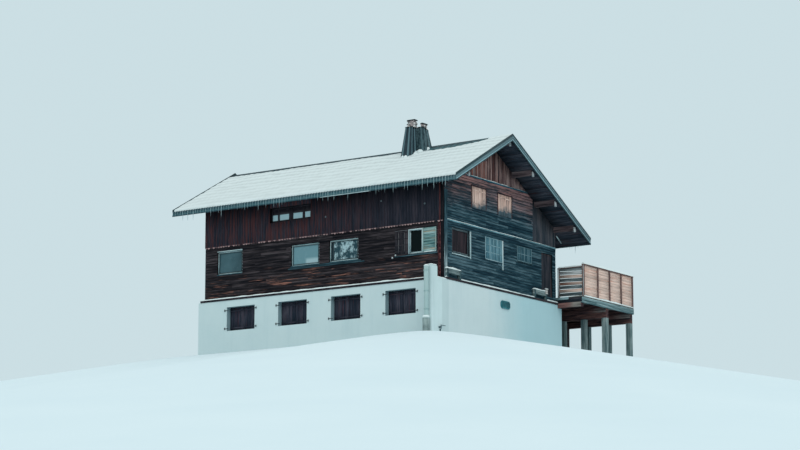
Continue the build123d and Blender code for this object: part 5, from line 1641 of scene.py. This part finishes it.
class CHALET_OT_terrace(bpy.types.Operator):
    """Finishes the terrace's solids, and adds deck boards, railing boards, slats and laths"""

    bl_idname = "chalet.terrace"
    bl_label = "Terrace"

    def execute(self, context):
        base = tint("new_timber")
        for node_name, *look in (
            ("terrace_rim", "rim paint", (0.025, 0.065, 0.08), (0.10, 0.19, 0.21), (0.22, 0.33, 0.36), 0),
            ("terrace_beams", "red beams", (0.010, 0.012, 0.017), (0.05, 0.03, 0.033),
             (0.17, 0.085, 0.075), 1),
            ("terrace_posts", "pale posts", (0.04, 0.08, 0.09), (0.11, 0.175, 0.185), (0.30, 0.37, 0.37), 2),
            ("terrace_deck", "deck core", (0.05, 0.06, 0.06), (0.1, 0.11, 0.11), (0.2, 0.21, 0.2), 0),
            ("terrace_back_boards", "back boards", (0.006, 0.010, 0.015), (0.02, 0.019, 0.025),
             (0.06, 0.045, 0.05), 2),
            ("rail_frame", "rail posts", (0.035, 0.026, 0.03), (0.13, 0.085, 0.08), (0.28, 0.19, 0.17), 2),
        ):
            paint(timber(*look), node_name)
        self.make_deck_boards()
        self.make_rail_boards(base)
        self.make_slats(base)
        self.make_back_boards()
        self.make_rim_boards()
        return {"FINISHED"}

    def make_deck_boards(self):
        """Deck boards along the house, 0.14 m wide with gaps."""
        shape = Shape(111)
        x = WIDTH + 5.0 / 36 * (np.arange(36) + 0.5)
        start = np.stack([x, np.full_like(x, TERRACE_FRONT), np.full_like(x, DECK_TOP - 0.05)], 1)
        shape.bars(start, start + (0, 3.6, 0), (1, 0, 0), (0, 0, 1), plank(0.134, 0.05))
        look = timber("deck boards", (0.05, 0.06, 0.06), (0.13, 0.14, 0.135), (0.26, 0.27, 0.25), tone=0.8)
        shape.make("deck_boards", look, "deck_timber", "terrace_deck")

    def make_rail_boards(self, base):
        """Level boards in the four bays of the railing, and pale laths beside the posts."""
        shape, laths = Shape(112), Shape(116)
        front = front_face(TERRACE_FRONT + 0.03)
        foot = DECK_TOP + 0.06
        edges = np.linspace(foot, RAIL_TOP, 11)
        for left, right in pairs(RAIL_POSTS):
            front.rows(shape, [(left + 0.09, right, a, b) for a, b in pairs(edges)], 0.024, -0.03, 0.006)
            front.columns(laths, [(left + 0.09, left + 0.12, foot, RAIL_TOP)], 0.012, -0.006, tone=0.9)
        look = timber("new boards", base * 0.72, base, np.minimum(base * 1.25, 0.8), tone=0.7, wear=0.3,
                      rough=0.6, accent=((0.56, 0.33, 0.26), 0.35))
        shape.make("rail_boards", look, "new_timber", "front_rail_boards")
        look = timber("rail laths", base * 0.7, base, np.minimum(base * 1.3, 0.8), wear=0.2)
        laths.make("rail_laths", look, "new_timber")

    def make_slats(self, base):
        """The side screen's slats: new and grey boards in turn, rising a little towards the house."""
        fresh, grey, posts = Shape(113), Shape(114), Shape(117)
        x = WIDTH + 0.26
        y0, y1 = TERRACE_FRONT + 0.09, -0.09
        for n, tone in enumerate((0.15, 0.8, 0.35, 0.2, 0.3, 0.75, 1.0, 0.45)):
            z = DECK_TOP + 0.06 + 0.1675 * n + 0.075
            start, end = (x, y0, z), (x, y1, z + 0.07 * (0.3 + n / 10))
            (fresh if n in (1, 3, 5) else grey).bars(start, end, (0, 0, 1), (-1, 0, 0),
                                                     plank(0.150, 0.03), tone=tone)
        look = timber("new slats", base * 0.4, base * 0.68, base * 1.05, tone=1.8,
                      accent=((0.40, 0.2, 0.15), 0.5), wear=0.3)
        fresh.make("new_slats", look, "new_timber", "side_rail_slats")
        look = timber("grey slats", (0.05, 0.08, 0.09), (0.15, 0.185, 0.195), (0.44, 0.47, 0.48),
                      tone=2.2, wear=0.3)
        grey.make("grey_slats", look, "new_timber")
        side = side_face(WIDTH + 0.20)
        side.columns(posts, [(-0.088, -0.008, DECK_TOP, 1.57)], 0.012, tone=0.9)
        side.columns(posts, [(TERRACE_FRONT + 0.008, TERRACE_FRONT + 0.03, DECK_TOP, RAIL_TOP)],
                     0.012, tone=0.9)
        look = timber("side posts", (0.2, 0.26, 0.28), (0.33, 0.40, 0.42), (0.5, 0.56, 0.58),
                      tone=0.6, wear=0.2)
        posts.make("side_laths", look, "new_timber")

    def make_back_boards(self):
        """Upright boards on the wall below the deck's back edge, and thin boards on the beams' left sides."""
        shape, beams = Shape(115), Shape(118)
        cells = [(x, x + 0.16, GROUND, DECK_TOP - 0.36)
                 for x in np.arange(WIDTH + 0.36, TERRACE_END - 0.2, 0.16)]
        front_face(2.16).columns(shape, cells, 0.018, 0.0, JOINT)
        look = timber("under deck boards", (0.006, 0.009, 0.014), (0.03, 0.022, 0.027),
                      (0.12, 0.075, 0.075), tone=1.4)
        shape.make("under_deck_boards", look, "dark_boards")
        for x in (WIDTH - 0.005, 11.95, 14.305):
            side_face(x).rows(beams, [(TERRACE_FRONT + 0.06, 2.15, -0.34, -0.11)], 0.012)
        look = timber("beam boards", (0.02, 0.014, 0.018), (0.085, 0.045, 0.045), (0.20, 0.11, 0.10),
                      tone=0.6, fade=((0.10, 0.095, 0.095), 1, -0.5, -1.2))
        beams.make("beam_boards", look, "red_beam")

    def make_rim_boards(self):
        """The deck's edge: two boards along the front, a dark one along the left, a pale one over its end."""
        rim, dark = Shape(119), Shape(120)
        cells = (WIDTH, TERRACE_END, 0.0, 0.115), (WIDTH, TERRACE_END, -0.148, -0.016)
        front_face(TERRACE_FRONT).rows(rim, cells, 0.016, tone=[0.7, 0.35])
        side = side_face(WIDTH)
        side.rows(rim, [(-0.72, -0.03, 0.045, 0.165)], 0.022, tone=0.6)
        side.rows(dark, [(TERRACE_FRONT, -0.01, -0.11, 0.118)], 0.01)
        look = timber("rim boards", (0.035, 0.08, 0.09), (0.125, 0.215, 0.235), (0.25, 0.36, 0.38), tone=1.2)
        rim.make("rim_boards", look, "rim_paint")
        look = timber("rim shade", (0.005, 0.010, 0.014), (0.016, 0.022, 0.030), (0.07, 0.065, 0.075))
        dark.make("rim_side_board", look, "red_beam")


class CHALET_OT_floors(bpy.types.Operator):
    """Finishes the floors inside the house"""

    bl_idname = "chalet.floors"
    bl_label = "Floors"

    def execute(self, context):
        boards = timber("floor boards", (0.08, 0.06, 0.045), (0.17, 0.125, 0.09),
                        (0.28, 0.21, 0.15), 1, rough=0.5)
        paint(boards, "living_floor", "upper_floor")
        return {"FINISHED"}


class CHALET_PT_panel(bpy.types.Panel):
    """Lists the chalet's parts and sizes in the sidebar"""

    bl_idname = "CHALET_PT_panel"
    bl_label = "Chalet"
    bl_space_type = "VIEW_3D"
    bl_region_type = "UI"
    bl_category = "Chalet"

    def draw(self, context):
        for group in (context.scene.chalet_sizes, context.scene.chalet_colours):
            for name in group.__annotations__:
                self.layout.prop(group, name)
        for operator in OPERATORS:
            self.layout.operator(operator.bl_idname)


OPERATORS = (
    CHALET_OT_stage, CHALET_OT_masonry, CHALET_OT_gable_logs, CHALET_OT_side_walls, CHALET_OT_rear_walls,
    CHALET_OT_windows, CHALET_OT_shutters, CHALET_OT_door, CHALET_OT_trims, CHALET_OT_roof, CHALET_OT_snow,
    CHALET_OT_chimneys, CHALET_OT_terrace, CHALET_OT_floors,
)
CLASSES = (ChaletSizes, ChaletColours, *OPERATORS, CHALET_PT_panel)


def register():
    """Registers the classes and the scene's settings."""
    for item in CLASSES:
        bpy.utils.register_class(item)
    bpy.types.Scene.chalet_sizes = PointerProperty(type=ChaletSizes)
    bpy.types.Scene.chalet_colours = PointerProperty(type=ChaletColours)


def unregister():
    """Takes the settings and the classes away again."""
    del bpy.types.Scene.chalet_colours
    del bpy.types.Scene.chalet_sizes
    for item in reversed(CLASSES):
        bpy.utils.unregister_class(item)


def main():
    """Builds the stage and every piece."""
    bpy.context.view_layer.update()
    register()
    bpy.ops.chalet.stage()
    bpy.ops.chalet.masonry()
    bpy.ops.chalet.gable_logs()
    bpy.ops.chalet.side_walls()
    bpy.ops.chalet.rear_walls()
    bpy.ops.chalet.windows()
    bpy.ops.chalet.shutters()
    bpy.ops.chalet.door()
    bpy.ops.chalet.trims()
    bpy.ops.chalet.roof()
    bpy.ops.chalet.snow()
    bpy.ops.chalet.chimneys()
    bpy.ops.chalet.terrace()
    bpy.ops.chalet.floors()
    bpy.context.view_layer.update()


if __name__ == "__main__":
    main()
